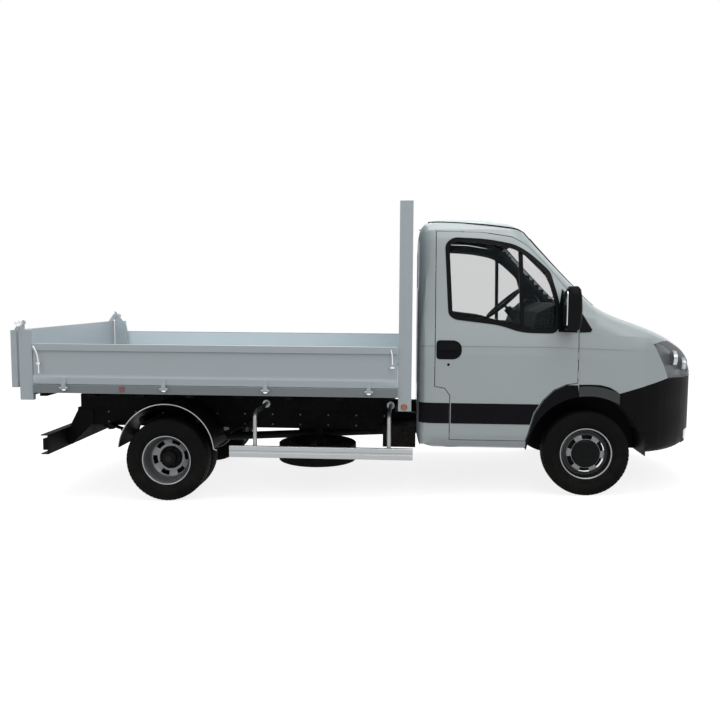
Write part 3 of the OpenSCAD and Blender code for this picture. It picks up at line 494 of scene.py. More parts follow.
def repeat(form, name, material, body, count, step, centre=None, slot=None, bevel=0.0, angle=35,
           stands_for=()):
    """Repeats a form with Geometry Nodes and keeps the result as a plain mesh."""
    ring = centre is not None
    if ring not in TREES:
        TREES[ring] = array_tree("Ring array" if ring else "Line array", ring)
    tree = TREES[ring]
    mesh = bpy.data.meshes.new(name + "_one")
    mesh.from_pydata(np.concatenate(form.v).tolist(), [], form.f)
    bm = bmesh.new()
    bm.from_mesh(mesh)
    bmesh.ops.recalc_face_normals(bm, faces=bm.faces)
    bm.to_mesh(mesh)
    bm.free()
    source = bpy.data.objects.new(name + "_source", mesh)
    bpy.context.collection.objects.link(source)
    modifier = source.modifiers.new("Repeat", "NODES")
    modifier.node_group = tree
    names = {s.name: s.identifier for s in tree.interface.items_tree
             if s.item_type == "SOCKET" and s.in_out == "INPUT"}
    modifier[names["Count"]] = count
    modifier[names["Centre"]] = tuple(centre) if ring else (0.0, 0.0, 0.0)
    modifier[names["Step"]] = tuple(step)
    modifier[names["Material"]] = material
    done = bpy.data.meshes.new_from_object(
        source.evaluated_get(bpy.context.evaluated_depsgraph_get()))
    done.name = name
    source.modifiers.remove(modifier)
    bpy.data.objects.remove(source)
    piece = bpy.data.objects.new(name, done)
    bpy.context.collection.objects.link(piece)
    done.materials.clear()
    return dress(piece, material, body, slot, bevel, stands_for, angle)


def lean_step(x=0.0, y=0.0, z=0.0):
    """A step along the leaning chassis, in metres."""
    c, s = math.cos(RAKE), math.sin(RAKE)
    return ((x * c + z * s) * MM, y * MM, (z * c - x * s) * MM)


# ---- Shader groups ----


def group(name, inputs, outputs):
    """An empty shader group with its sockets, and its input and output nodes."""
    tree = bpy.data.node_groups.new(name, "ShaderNodeTree")
    for label, kind, value in inputs:
        socket = tree.interface.new_socket(label, in_out="INPUT", socket_type=kind)
        if value is not None:
            socket.default_value = value
    for label, kind in outputs:
        tree.interface.new_socket(label, in_out="OUTPUT", socket_type=kind)
    return tree, tree.nodes.new("NodeGroupInput"), tree.nodes.new("NodeGroupOutput")


def node(tree, kind, links=None, **settings):
    """A node with its settings and its inputs, each a value or a linked socket."""
    made = tree.nodes.new(kind)
    for key, value in settings.items():
        setattr(made, key, value)
    for key, value in (links or {}).items():
        socket = made.inputs[key]
        if isinstance(value, bpy.types.NodeSocket):
            tree.links.new(value, socket)
        else:
            socket.default_value = value
    return made


FLOAT, COLOUR, VECTOR = "NodeSocketFloat", "NodeSocketColor", "NodeSocketVector"


def speckle_group():
    """Fine grain: a height for bumps and a slow mottle for colour and roughness."""
    tree, given, out = group(
        "Grain", [("Fine scale", FLOAT, 900.0), ("Slow scale", FLOAT, 3.0), ("Stretch", VECTOR, (1, 1, 1))],
        [("Height", FLOAT), ("Mottle", FLOAT)])
    place = node(tree, "ShaderNodeTexCoord")
    scaled = node(tree, "ShaderNodeVectorMath",
                  {0: place.outputs["Object"], 1: given.outputs["Stretch"]}, operation="MULTIPLY")
    fine = node(tree, "ShaderNodeTexNoise", {"Vector": scaled.outputs[0],
                                             "Scale": given.outputs["Fine scale"], "Detail": 3.0})
    slow = node(tree, "ShaderNodeTexNoise", {"Vector": scaled.outputs[0],
                                             "Scale": given.outputs["Slow scale"], "Detail": 5.0})
    tree.links.new(fine.outputs[0], out.inputs["Height"])
    tree.links.new(slow.outputs[0], out.inputs["Mottle"])
    return tree


def dust_group():
    """Road dirt that thins out with height, as a mask."""
    tree, given, out = group(
        "Road dust", [("Top", FLOAT, 0.9), ("Amount", FLOAT, 0.5), ("Scale", FLOAT, 9.0)],
        [("Mask", FLOAT)])
    place = node(tree, "ShaderNodeTexCoord")
    split = node(tree, "ShaderNodeSeparateXYZ", {0: place.outputs["Object"]})
    fall = node(tree, "ShaderNodeMapRange", {"Value": split.outputs["Z"], "From Min": 0.05,
                                             "From Max": given.outputs["Top"],
                                             "To Min": 1.0, "To Max": 0.0})
    noise = node(tree, "ShaderNodeTexNoise", {"Vector": place.outputs["Object"],
                                              "Scale": given.outputs["Scale"], "Detail": 8.0,
                                              "Roughness": 0.7})
    patch = node(tree, "ShaderNodeMapRange", {"Value": noise.outputs[0], "From Min": 0.38,
                                              "From Max": 0.72})
    both = node(tree, "ShaderNodeMath", {0: fall.outputs[0], 1: patch.outputs[0]},
                operation="MULTIPLY")
    amount = node(tree, "ShaderNodeMath", {0: both.outputs[0], 1: given.outputs["Amount"]},
                  operation="MULTIPLY")
    tree.links.new(amount.outputs[0], out.inputs["Mask"])
    return tree


def wear_group():
    """A mask for worn outer edges."""
    tree, given, out = group("Edge wear", [("Amount", FLOAT, 0.5), ("Scale", FLOAT, 40.0)],
                             [("Mask", FLOAT)])
    place = node(tree, "ShaderNodeTexCoord")
    form = node(tree, "ShaderNodeNewGeometry")
    sharp = node(tree, "ShaderNodeMapRange", {"Value": form.outputs["Pointiness"],
                                              "From Min": 0.54, "From Max": 0.62})
    noise = node(tree, "ShaderNodeTexNoise", {"Vector": place.outputs["Object"],
                                              "Scale": given.outputs["Scale"], "Detail": 6.0})
    patch = node(tree, "ShaderNodeMapRange", {"Value": noise.outputs[0], "From Min": 0.42,
                                              "From Max": 0.62})
    both = node(tree, "ShaderNodeMath", {0: sharp.outputs[0], 1: patch.outputs[0]},
                operation="MULTIPLY")
    amount = node(tree, "ShaderNodeMath", {0: both.outputs[0], 1: given.outputs["Amount"]},
                  operation="MULTIPLY")
    tree.links.new(amount.outputs[0], out.inputs["Mask"])
    return tree


def weave_group():
    """Crossed threads: a height, and a mask of the thread crowns, which the seat cloth lightens as a painted
    highlight.
    """
    tree, given, out = group("Weave", [("Threads", FLOAT, 420.0)],
                             [("Height", FLOAT), ("Crown highlight", FLOAT)])
    place = node(tree, "ShaderNodeTexCoord")
    waves = []
    for direction in ("X", "Y", "Z"):
        wave = node(tree, "ShaderNodeTexWave", {"Vector": place.outputs["Object"],
                                                "Scale": given.outputs["Threads"],
                                                "Distortion": 0.6, "Detail": 1.0},
                    bands_direction=direction)
        waves.append(wave.outputs["Fac"])
    first = node(tree, "ShaderNodeMath", {0: waves[0], 1: waves[1]}, operation="MULTIPLY")
    both = node(tree, "ShaderNodeMath", {0: first.outputs[0], 1: waves[2]}, operation="ADD")
    tree.links.new(both.outputs[0], out.inputs["Height"])
    tree.links.new(first.outputs[0], out.inputs["Crown highlight"])
    return tree


GROUPS = {}


def use(tree, name, **inputs):
    """Places a shared group in a material with its own values."""
    makers = {"Grain": speckle_group, "Road dust": dust_group, "Edge wear": wear_group,
              "Weave": weave_group}
    if name not in GROUPS:
        GROUPS[name] = makers[name]()
    made = tree.nodes.new("ShaderNodeGroup")
    made.node_tree = GROUPS[name]
    for key, value in inputs.items():
        made.inputs[key.replace("_", " ")].default_value = value
    return made


def mix(tree, factor, a, b, mode="MIX"):
    made = tree.nodes.new("ShaderNodeMix")
    made.data_type, made.blend_type = "RGBA", mode
    for socket, value in ((made.inputs[0], factor), (made.inputs[6], a), (made.inputs[7], b)):
        if isinstance(value, bpy.types.NodeSocket):
            tree.links.new(value, socket)
        else:
            socket.default_value = (*value, 1) if isinstance(value, tuple) and len(value) == 3 \
                else value
    return made.outputs[2]


DUST_COLOUR = (0.20, 0.18, 0.155)


def finish(name, colour, rough=0.5, metal=0.0, fine=900.0, bump=0.02, slow=3.0, mottle=0.08,
           dust=0.0, dust_top=0.9, wear=0.0, wear_colour=(0.05, 0.05, 0.05), stretch=(1, 1, 1),
           rough_swing=0.08, **sockets):
    """A painted, moulded or metal surface with grain, mottling, dirt and worn edges."""
    made = bpy.data.materials.new(name)
    made.use_nodes = True
    tree = made.node_tree
    shader = tree.nodes["Principled BSDF"]
    grain = use(tree, "Grain", Fine_scale=fine, Slow_scale=slow, Stretch=stretch)
    dark = tuple(c * (1 - mottle) for c in colour)
    light = tuple(min(1.0, c * (1 + mottle)) for c in colour)
    base = mix(tree, grain.outputs["Mottle"], dark, light)
    rough_value = node(tree, "ShaderNodeMapRange",
                       {"Value": grain.outputs["Mottle"], "From Min": 0.3, "From Max": 0.7,
                        "To Min": max(0.0, rough - rough_swing),
                        "To Max": min(1.0, rough + rough_swing)}).outputs[0]
    if wear:
        worn = use(tree, "Edge wear", Amount=wear)
        base = mix(tree, worn.outputs["Mask"], base, wear_colour)
    if dust:
        dirt = use(tree, "Road dust", Amount=dust, Top=dust_top)
        base = mix(tree, dirt.outputs["Mask"], base, DUST_COLOUR)
        rough_value = node(tree, "ShaderNodeMath", {0: rough_value, 1: dirt.outputs["Mask"]},
                           operation="MAXIMUM", use_clamp=True).outputs[0]
    tree.links.new(base, shader.inputs["Base Color"])
    tree.links.new(rough_value, shader.inputs["Roughness"])
    shader.inputs["Metallic"].default_value = metal
    for key, value in sockets.items():
        shader.inputs[key.replace("_", " ")].default_value = value
    if bump:
        relief = node(tree, "ShaderNodeBump", {"Height": grain.outputs["Height"],
                                               "Strength": bump, "Distance": 0.001})
        tree.links.new(relief.outputs[0], shader.inputs["Normal"])
    made.diffuse_color = (*colour, 1)
    return made


def glassy(name, colour, rough=0.02, through=0.0, amount=0.85):
    """Thin glass: a gloss coat over a tinted clear layer."""
    made = bpy.data.materials.new(name)
    made.use_nodes = True
    tree = made.node_tree
    shader = tree.nodes["Principled BSDF"]
    grain = use(tree, "Grain", Fine_scale=60.0, Slow_scale=1.5)
    base = mix(tree, grain.outputs["Mottle"], tuple(c * 0.97 for c in colour), colour)
    tree.links.new(base, shader.inputs["Base Color"])
    shader.inputs["Roughness"].default_value = rough
    shader.inputs["Transmission Weight"].default_value = through
    shader.inputs["IOR"].default_value = 1.45
    shader.inputs["Specular IOR Level"].default_value = 0.3
    if amount < 1:
        shader.inputs["Alpha"].default_value = amount
    made.diffuse_color = (*colour, 1)
    return made


def cloth(name, colour, second):
    """Woven seat cloth, lighter on the thread crowns as a painted highlight."""
    made = bpy.data.materials.new(name)
    made.use_nodes = True
    tree = made.node_tree
    shader = tree.nodes["Principled BSDF"]
    weave = use(tree, "Weave", Threads=260.0)
    grain = use(tree, "Grain", Fine_scale=500.0, Slow_scale=5.0)
    # The lighter second colour on the thread crowns is a painted highlight.
    threads = mix(tree, weave.outputs["Crown highlight"], colour, second)
    base = mix(tree, grain.outputs["Mottle"], threads, tuple(c * 0.7 for c in colour))
    tree.links.new(base, shader.inputs["Base Color"])
    shader.inputs["Roughness"].default_value = 0.95
    shader.inputs["Sheen Weight"].default_value = 0.3
    shader.inputs["Sheen Roughness"].default_value = 0.5
    relief = node(tree, "ShaderNodeBump", {"Height": weave.outputs["Height"],
                                           "Strength": 0.4, "Distance": 0.0006})
    tree.links.new(relief.outputs[0], shader.inputs["Normal"])
    made.diffuse_color = (*colour, 1)
    return made


# ---- Finishes ----

FINISHES = {}


def coat(name):
    """One finish by name, made the first time it is asked for."""
    if name in FINISHES:
        return FINISHES[name]
    look = bpy.context.scene.truck_looks
    paint = tuple(look.paint)
    bed = tuple(look.bed_paint)
    recipes = {
        "cab_paint": lambda: finish(name, paint, 0.34, fine=1400, bump=0.012, mottle=0.02, dust=0.1,
                                    dust_top=0.9, rough_swing=0.04, Coat_Weight=0.5,
                                    Coat_Roughness=0.08),
        "bed_paint": lambda: finish(name, bed, 0.42, fine=700, bump=0.05, mottle=0.03, dust=0.1,
                                    dust_top=0.9, wear=0.2, wear_colour=(0.2, 0.2, 0.19),
                                    Coat_Weight=0.25, Coat_Roughness=0.25),
        "bed_floor_paint": lambda: finish(name, tuple(c * 0.85 for c in bed), 0.55, fine=300, bump=0.12,
                                          mottle=0.05, slow=4, dust=0.12, dust_top=3.0, wear=0.1,
                                          wear_colour=(0.16, 0.15, 0.14)),
        # Bed paint at 0.45 of its lightness: painted shade on the sill under the boards, with road dust on top.
        "sill_painted_shade": lambda: finish(name, tuple(c * 0.45 for c in bed), 0.5, fine=700, bump=0.06,
                                     mottle=0.08, dust=0.2, dust_top=1.1),
        # Bed paint made half as light again: painted light on the inside faces of the side boards.
        "board_inside_painted_light": lambda: finish(name, tuple(min(1.0, c * 1.5) for c in bed), 0.5, fine=500,
                                      bump=0.06, mottle=0.04, dust=0.08, dust_top=1.5),
        "lining": lambda: finish(name, (0.018, 0.019, 0.021), 0.75, fine=500, bump=0.25, mottle=0.1, Specular_IOR_Level=0.05),
        "headlining": lambda: finish(name, (0.12, 0.12, 0.12), 0.95, fine=1500, bump=0.3, mottle=0.08),
        "seal_rubber": lambda: finish(name, (0.006, 0.006, 0.006), 0.55, fine=800, bump=0.05,
                                      mottle=0.15, Specular_IOR_Level=0.05),
        "frame_black": lambda: finish(name, (0.004, 0.0045, 0.005), 0.3, fine=1200, bump=0.02,
                                      mottle=0.12, Coat_Weight=0.06, Coat_Roughness=0.1, Specular_IOR_Level=0.05),
        "bumper_plastic": lambda: finish(name, (0.0055, 0.0055, 0.006), 0.52, fine=1500, bump=0.25,
                                         mottle=0.12, dust=0.05, dust_top=0.7, Specular_IOR_Level=0.05),
        "band_plastic": lambda: finish(name, (0.006, 0.006, 0.0075), 0.5, fine=1500, bump=0.2,
                                       mottle=0.12, dust=0.04, dust_top=0.9, Specular_IOR_Level=0.05),
        "chassis_black": lambda: finish(name, (0.005, 0.005, 0.0052), 0.55, fine=400, bump=0.12,
                                        mottle=0.2, dust=0.10, dust_top=0.9, wear=0.3,
                                        wear_colour=(0.09, 0.06, 0.045), Specular_IOR_Level=0.05),
        "spring_black": lambda: finish(name, (0.006, 0.006, 0.006), 0.6, metal=0.2, fine=300, bump=0.2,
                                       mottle=0.25, dust=0.14, dust_top=0.8, Specular_IOR_Level=0.05),
        "cast_iron": lambda: finish(name, (0.02, 0.019, 0.018), 0.65, metal=0.3, fine=260, bump=0.3,
                                    mottle=0.2, dust=0.10, dust_top=0.9, Specular_IOR_Level=0.05),
        "hot_steel": lambda: finish(name, (0.16, 0.13, 0.11), 0.5, metal=0.8, fine=200, bump=0.15,
                                    mottle=0.3, slow=9, dust=0.1, dust_top=0.7),
        "galvanised": lambda: finish(name, (0.36, 0.38, 0.39), 0.38, metal=0.85, fine=120, bump=0.03,
                                     mottle=0.12, slow=22, dust=0.15, dust_top=0.7),
        "brushed_alloy": lambda: finish(name, (0.40, 0.42, 0.43), 0.36, metal=0.85, fine=500, bump=0.06,
                                        mottle=0.06, stretch=(0.05, 1, 1), dust=0.12, dust_top=0.6),
        "rim_silver": lambda: finish(name, (0.20, 0.21, 0.22), 0.4, metal=0.7, fine=900, bump=0.02,
                                     mottle=0.1, dust=0.1, dust_top=0.7),
        "rim_bright": lambda: finish(name, (0.30, 0.31, 0.32), 0.3, metal=0.9, fine=900, bump=0.01,
                                     mottle=0.05, dust=0.08, dust_top=0.6),
        "rim_dark": lambda: finish(name, (0.007, 0.0075, 0.008), 0.45, fine=900, bump=0.03, mottle=0.1,
                                   dust=0.06, dust_top=0.6, Specular_IOR_Level=0.05),
        "chrome": lambda: finish(name, (0.75, 0.76, 0.77), 0.12, metal=1.0, fine=900, bump=0.01,
                                 mottle=0.04),
        "bolt_zinc": lambda: finish(name, (0.12, 0.12, 0.115), 0.45, metal=0.9, fine=900, bump=0.05,
                                    mottle=0.2),
        "mudguard_black": lambda: finish(name, (0.005, 0.005, 0.0055), 0.42, fine=900, bump=0.06,
                                         mottle=0.15, dust=0.05, dust_top=0.8, Specular_IOR_Level=0.05),
        "tyre_rubber": lambda: finish(name, (0.0065, 0.0065, 0.0065), 0.72, fine=700, bump=0.15,
                                      mottle=0.18, dust=0.06, dust_top=0.8, Specular_IOR_Level=0.05),
        "ram_paint": lambda: finish(name, (0.008, 0.008, 0.009), 0.4, fine=600, bump=0.05, mottle=0.15,
                                    dust=0.08, dust_top=0.8, wear=0.3, wear_colour=(0.2, 0.19, 0.18), Specular_IOR_Level=0.05),
        "hose_rubber": lambda: finish(name, (0.006, 0.006, 0.006), 0.6, fine=1200, bump=0.1,
                                      mottle=0.1, Specular_IOR_Level=0.05),
        "tank_plastic": lambda: finish(name, (0.006, 0.006, 0.0065), 0.6, fine=900, bump=0.2,
                                       mottle=0.15, dust=0.08, dust_top=0.8, Specular_IOR_Level=0.05),
        "dash_plastic": lambda: finish(name, (0.008, 0.009, 0.01), 0.65, fine=900, bump=0.35,
                                       mottle=0.1, Specular_IOR_Level=0.05),
        "dash_grey": lambda: finish(name, (0.10, 0.105, 0.11), 0.5, fine=900, bump=0.1, mottle=0.06),
        "lamp_case": lambda: finish(name, (0.22, 0.23, 0.24), 0.4, metal=0.3, fine=600, bump=0.01,
                                    mottle=0.05),
        "reflector": lambda: finish(name, (0.45, 0.47, 0.49), 0.22, metal=1.0, fine=600, bump=0.0,
                                    mottle=0.02),
        "plate_white": lambda: finish(name, (0.72, 0.72, 0.70), 0.35, fine=900, bump=0.02,
                                      mottle=0.03, Coat_Weight=0.4),
        "amber_lens": lambda: finish(name, (0.33, 0.075, 0.012), 0.2, fine=300, bump=0.05, mottle=0.1,
                                     Coat_Weight=0.8, Coat_Roughness=0.04),
        "red_lens": lambda: finish(name, (0.22, 0.010, 0.008), 0.2, fine=300, bump=0.05, mottle=0.1,
                                   Coat_Weight=0.8, Coat_Roughness=0.04),
        "white_lens": lambda: finish(name, (0.6, 0.6, 0.6), 0.15, fine=300, bump=0.05, mottle=0.05,
                                     Coat_Weight=0.8, Coat_Roughness=0.04),
        "mirror_glass": lambda: finish(name, (0.55, 0.58, 0.6), 0.04, metal=1.0, fine=300, bump=0.0,
                                       mottle=0.03),
        "brake_iron": lambda: finish(name, (0.16, 0.12, 0.10), 0.55, metal=0.5, fine=500, bump=0.15,
                                     mottle=0.3, dust=0.1, dust_top=0.7),
        "window_glass": lambda: glassy(name, (0.02, 0.035, 0.042), 0.02, 0.0, 0.12),
        "lamp_glass": lambda: glassy(name, (0.25, 0.28, 0.30), 0.03, 0.0, 0.2),
        "seat_cloth": lambda: cloth(name, (0.045, 0.05, 0.06), (0.10, 0.11, 0.13)),
    }
    FINISHES[name] = recipes[name]()
    return FINISHES[name]

# ---- Cab panels ----


def crease_height(x):
    return np.interp(x, [2069, 3189, 3363, 3680, 3807], [1331, 1330, 1323, 1314, 1308])


def press_crease(q, was):
    """A pressed line along the flanks: in sharply, and out again below."""
    dz = q[:, 2] - crease_height(q[:, 0])
    fade = np.clip((FX + 430 - q[:, 0]) / 250, 0, 1) * np.clip((was + 24) / 12, 0, 1)
    deep = np.interp(dz, [-75, -6, 0, 1], [0, 5, 0, 0]) * fade
    flank = np.abs(q[:, 1]) > 800
    q[:, 1] -= np.sign(q[:, 1]) * deep * flank
    return q


def cut(bm, axis, places):
    normal = Vector([0, 0, 0])
    normal[axis] = 1
    for at in places:
        bmesh.ops.bisect_plane(bm, geom=bm.verts[:] + bm.edges[:] + bm.faces[:], dist=1e-3,
                               plane_co=normal * at, plane_no=normal)


def panel(node, name, materials, body, wall=32.0, cell=46.0, crease=False, bevel=2.2, slot=None,
          width=160.0, arch=True, inside_from=None):
    """A cab panel of the CAD outline, on the rounded form."""
    bm = cad_copy(node)
    low = np.array([v.co for v in bm.verts]).min(0)
    high = np.array([v.co for v in bm.verts]).max(0)
    for axis in range(3):
        count = max(1, int((high[axis] - low[axis]) / cell))
        cut(bm, axis, np.linspace(low[axis], high[axis], count + 1)[1:-1])
    if crease:
        for v in bm.verts:
            v.co.z -= crease_height(v.co.x) - 1331
        cut(bm, 2, (1331, 1325, 1256))
        for v in bm.verts:
            v.co.z += crease_height(v.co.x) - 1331
    bmesh.ops.triangulate(bm, faces=[f for f in bm.faces if len(f.verts) > 4])
    p = np.array([v.co for v in bm.verts])
    centres = np.array([f.calc_center_median() for f in bm.faces])
    q, was = soften(p, width)
    if crease:
        q = press_crease(q, was)
    if node.startswith("door_") and "glass" not in node:
        q[:, 0] -= 9 * np.clip((p[:, 0] - FX + 150) / 40, 0, 1) * np.clip(-was / 8 - 1, 0, 1)
    for v, co in zip(bm.verts, lean(q)):
        v.co = co
    level_of, _ = cab_level(centres, HARD, 1e-3)
    reach = np.hypot(centres[:, 0] - FX, centres[:, 2] - FZ)
    lining = -(wall - 6) if inside_from is None else inside_from
    bm.faces.ensure_lookup_table()
    for f, depth, r in zip(bm.faces, level_of, reach):
        f.material_index = 1 if depth < lining else (2 if arch and r < ARCH_R + 4 else 0)
    bmesh.ops.recalc_face_normals(bm, faces=bm.faces)
    mesh = bpy.data.meshes.new(name)
    bm.to_mesh(mesh)
    bm.free()
    made = bpy.data.objects.new(name, mesh)
    bpy.context.collection.objects.link(made)
    return dress(made, [coat(m) for m in materials], body, slot, bevel, (node,), 30)


def ring_patch(name, outline, out, inner, side, proud, depth, material, body, slot="black_plastic",
               bevel=1.5, step=30.0, axis=1, corner=45.0):
    """A flat band that follows an outline on the cab's skin."""
    o = rounded(outline, corner * 3, corner, 5)
    form = Form()
    skin_patch(form, even(grown(o, out), step), side, proud, depth,
               [even(grown(o, -inner), step)], step, axis=axis)
    return form.make(name, coat(material), body, slot, bevel)


def patch(name, outline, side, proud, depth, material, body, slot, bevel=1.5, step=35.0, axis=1,
          holes=()):
    form = Form()
    skin_patch(form, even(outline, step), side, proud, depth, [even(h, step) for h in holes], step,
               axis=axis)
    return form.make(name, coat(material), body, slot, bevel)


SIDES = (("right", -1), ("left", 1))


class TRUCK_OT_cab_panels(bpy.types.Operator):
    """Rounds the cab's painted panels over their CAD outlines"""
    bl_idname = "truck.cab_panels"
    bl_label = "Cab panels"

    def execute(self, context):
        paint = ["cab_paint", "lining", "band_plastic"]
        panel("cab_sides", "cab_side_panels", paint, "chassis", crease=True, slot="white_paint")
        panel("cab_roof", "roof_skin", ["cab_paint", "headlining", "band_plastic"], "chassis",
              slot="white_paint")
        panel("cab_rear_wall", "rear_panel", paint, "chassis", slot="white_paint")
        panel("front_wings", "wing_skins", paint, "chassis", crease=True, slot="white_paint",
              wall=20)
        panel("bonnet", "bonnet_skin", ["cab_paint", "lining", "band_plastic"], "bonnet",
              slot="white_paint", wall=20)
        for name, side in SIDES:
            panel(f"door_{name}", f"door_skin_{name}", paint, f"door_{name}", crease=True,
                  slot="white_paint", wall=60, inside_from=-40)
            panel(f"door_glass_{name}", f"door_window_{name}", ["window_glass"] * 3,
                  f"door_{name}", slot="clear_glass", bevel=0, arch=False, inside_from=-1e4)
        panel("cowl", "cowl_cover", ["frame_black"] * 3, "chassis", slot="black_plastic",
              arch=False)
        panel("windscreen", "windscreen_glass", ["window_glass"] * 3, "chassis",
              slot="clear_glass", bevel=0, arch=False)
        panel("bumper", "bumper_cover", ["bumper_plastic"] * 3, "chassis", slot="black_plastic",
              bevel=4)
        panel("grille", "grille_back", ["frame_black"] * 3, "chassis", slot="black_plastic",
              arch=False)
        return {"FINISHED"}


class TRUCK_OT_cab_trim(bpy.types.Operator):
    """Adds bands, window frames, seals, handles, mirrors and wipers"""
    bl_idname = "truck.cab_trim"
    bl_label = "Cab trim"

    def execute(self, context):
        for name, side in SIDES:
            door = f"door_{name}"
            patch(f"rear_band_{name}", [(CAB_X + 15, 701), (2331, 701), (2331, 868),
                                        (CAB_X + 15, 868)],
                  side, 4, 8, "band_plastic", "chassis", "black_plastic", 3)
            patch(f"door_band_{name}", [(2344, 701), (2978, 701), (3006, 800), (3048, 868),
                                        (2344, 868)],
                  side, 4, 8, "band_plastic", door, "black_plastic", 3)
            ring_patch(f"window_frame_{name}", from_front(WINDOW), 22, 13, side, 3, 14,
                       "frame_black", door)
            patch(f"window_post_{name}", [(2888, 1490), (2922, 1478), (2905, 2122), (2871, 2132)],
                  side, -17, 14, "frame_black", door, "black_plastic")
            patch(f"mirror_base_{name}", [(3186, 1452), (3335, 1446), (3335, 1650), (3215, 1790),
                                          (3190, 1640)],
                  side, 6, 12, "frame_black", door, "black_plastic", 3)
            patch(f"pillar_corner_{name}", [(3354, 1446), (3439, 1450), (3451, 1470),
                                            (3375, 1595), (3354, 1625)],
                  side, 4, 8, "frame_black", "chassis", "black_plastic")
            handle = Form()
            o = rounded([(2222, 1222), (2380, 1222), (2424, 1262), (2424, 1338), (2380, 1376),
                         (2222, 1376)], 40, 30, 5)
            skin_patch(handle, even(o, 24), side, 3, 8, step=24)
            handle.make(f"handle_cup_{name}", coat("band_plastic"), door, "black_plastic", 2)
            pull = Form()
            o = rounded([(2236, 1296), (2392, 1296), (2410, 1318), (2392, 1346), (2236, 1346)],
                        30, 14, 5)
            skin_patch(pull, even(o, 18), side, 14, 12, step=18)
            pull.make(f"handle_pull_{name}", coat("frame_black"), door, "black_plastic", 3)
            lock = Form()
            y = on_skin([(2320, side * 1300, 1180)], 1, 0, 160)[0][1]
            lock.lathe([(0.1, y - side * 4), (11, y - side * 4), (11, y + side * 2),
                        (8, y + side * 2.5), (0.1, y + side * 2.5)], (2320, 0, 1180), n=20)
            lock.make(f"door_lock_{name}", coat("frame_black"), door, "black_plastic")
            self.mirror(name, side)
            self.flares(name, side)
            self.gutter(name, side)
            self.liner(name, side)
        self.screen()
        return {"FINISHED"}

    def flares(self, name, side):
        def arc(r, start, end, n=24):
            a = np.radians(np.linspace(start, end, n))
            return [(FX + r * math.cos(t), FZ + r * math.sin(t)) for t in a]

        door = [(FX + x, z) for x, z in DOOR[1:8]]
        edge_line = [(x + 6, z - 5) for x, z in door]
        inner = arc(ARCH_R - 1, 178, 99)
        loop = edge_line[:-1] + [(3349, 1026)] + inner[::-1]
        start = [(2955, 487)]
        patch(f"arch_edge_{name}", start + loop, side, 3, 10, "band_plastic", "chassis",
              "black_plastic", 2, 30)
        inner = arc(ARCH_R - 1, 98, 58)
        patch(f"arch_flare_{name}", inner[::-1] + [(3357, 1031), (3449, 1033), (3529, 1030),
                                                   (3600, 1012), (3645, 986), (FX + 237, 966)],
              side, 3, 10, "band_plastic", "chassis", "black_plastic", 2, 30)

    def liner(self, name, side):
        form = Form()
        a = np.radians(np.linspace(-2, 178, 50))
        ring = [np.array([(FX + r * math.cos(t), side * y, FZ + r * math.sin(t))
                          for r, y in ((474, 925), (474, 590), (300, 575), (300, 571), (477, 586),
                                       (477, 925))]) for t in a]
        form.rings(ring)
        form.make(f"arch_liner_{name}", coat("mudguard_black"), "chassis", "black_plastic")

    def gutter(self, name, side):
        path = [(2082, 2351), (2252, 2352), (2436, 2343), (2628, 2326), (2804, 2304), (2870, 2290),
                (2920, 2266), (2972, 2206)]
        form = Form()
        line = even(path, 40, closed=False)
        p = np.stack([line[:, 0], np.full(len(line), side * 1300.0), line[:, 1] - 22], 1)
        form.tube(on_skin(p, 1, 1, 160), 5, n=8)
        form.make(f"roof_line_{name}", coat("seal_rubber"), "chassis", "black_plastic")

    def mirror(self, name, side):
        rings, sections = [], []
        table = [(1470, 3215, 3300, 1076, 1196), (1492, 3205, 3318, 1058, 1216),
                 (1560, 3204, 3325, 1048, 1226), (1640, 3205, 3327, 1046, 1228),
                 (1730, 3208, 3322, 1050, 1226), (1786, 3214, 3312, 1058, 1216),
                 (1811, 3232, 3292, 1080, 1196)]
        for z, x0, x1, y0, y1 in table:
            a = np.linspace(0, 2 * np.pi, 32, endpoint=False)
            c, s = np.cos(a), np.sin(a)
            power = 0.55
            x = (x0 + x1) / 2 + np.sign(c) * np.abs(c) ** power * (x1 - x0) / 2
            y = (y0 + y1) / 2 + np.sign(s) * np.abs(s) ** power * (y1 - y0) / 2
            rings.append(np.stack([x, y * side, np.full(32, z)], 1))
        form = Form().rings(rings)
        o = [(3225, 1490), (3320, 1490), (3316, 1530), (3225, 1534)]
        form.slab(o, side * 905, side * 1070)
        form.make(f"mirror_case_{name}", coat("frame_black"), f"door_{name}", "black_plastic", 3,
                  (f"mirror_{name}",), 40)
        glass = Form()
        g = rounded([(1064, 1506), (1212, 1506), (1214, 1772), (1068, 1772)], 30, 26, 5)
        glass.rings([np.stack([np.full(len(g), x), g[:, 0] * side, g[:, 1]], 1)
                     for x in (3202.5, 3210)])
        glass.make(f"mirror_glass_{name}", coat("mirror_glass"), f"door_{name}", "clear_glass")
        lamp = Form().box((3232, side * 1000, 1474), (3300, side * 1046, 1489))
        lamp.make(f"mirror_lamp_{name}", coat("amber_lens"), f"door_{name}", "lamp_lens", 3)

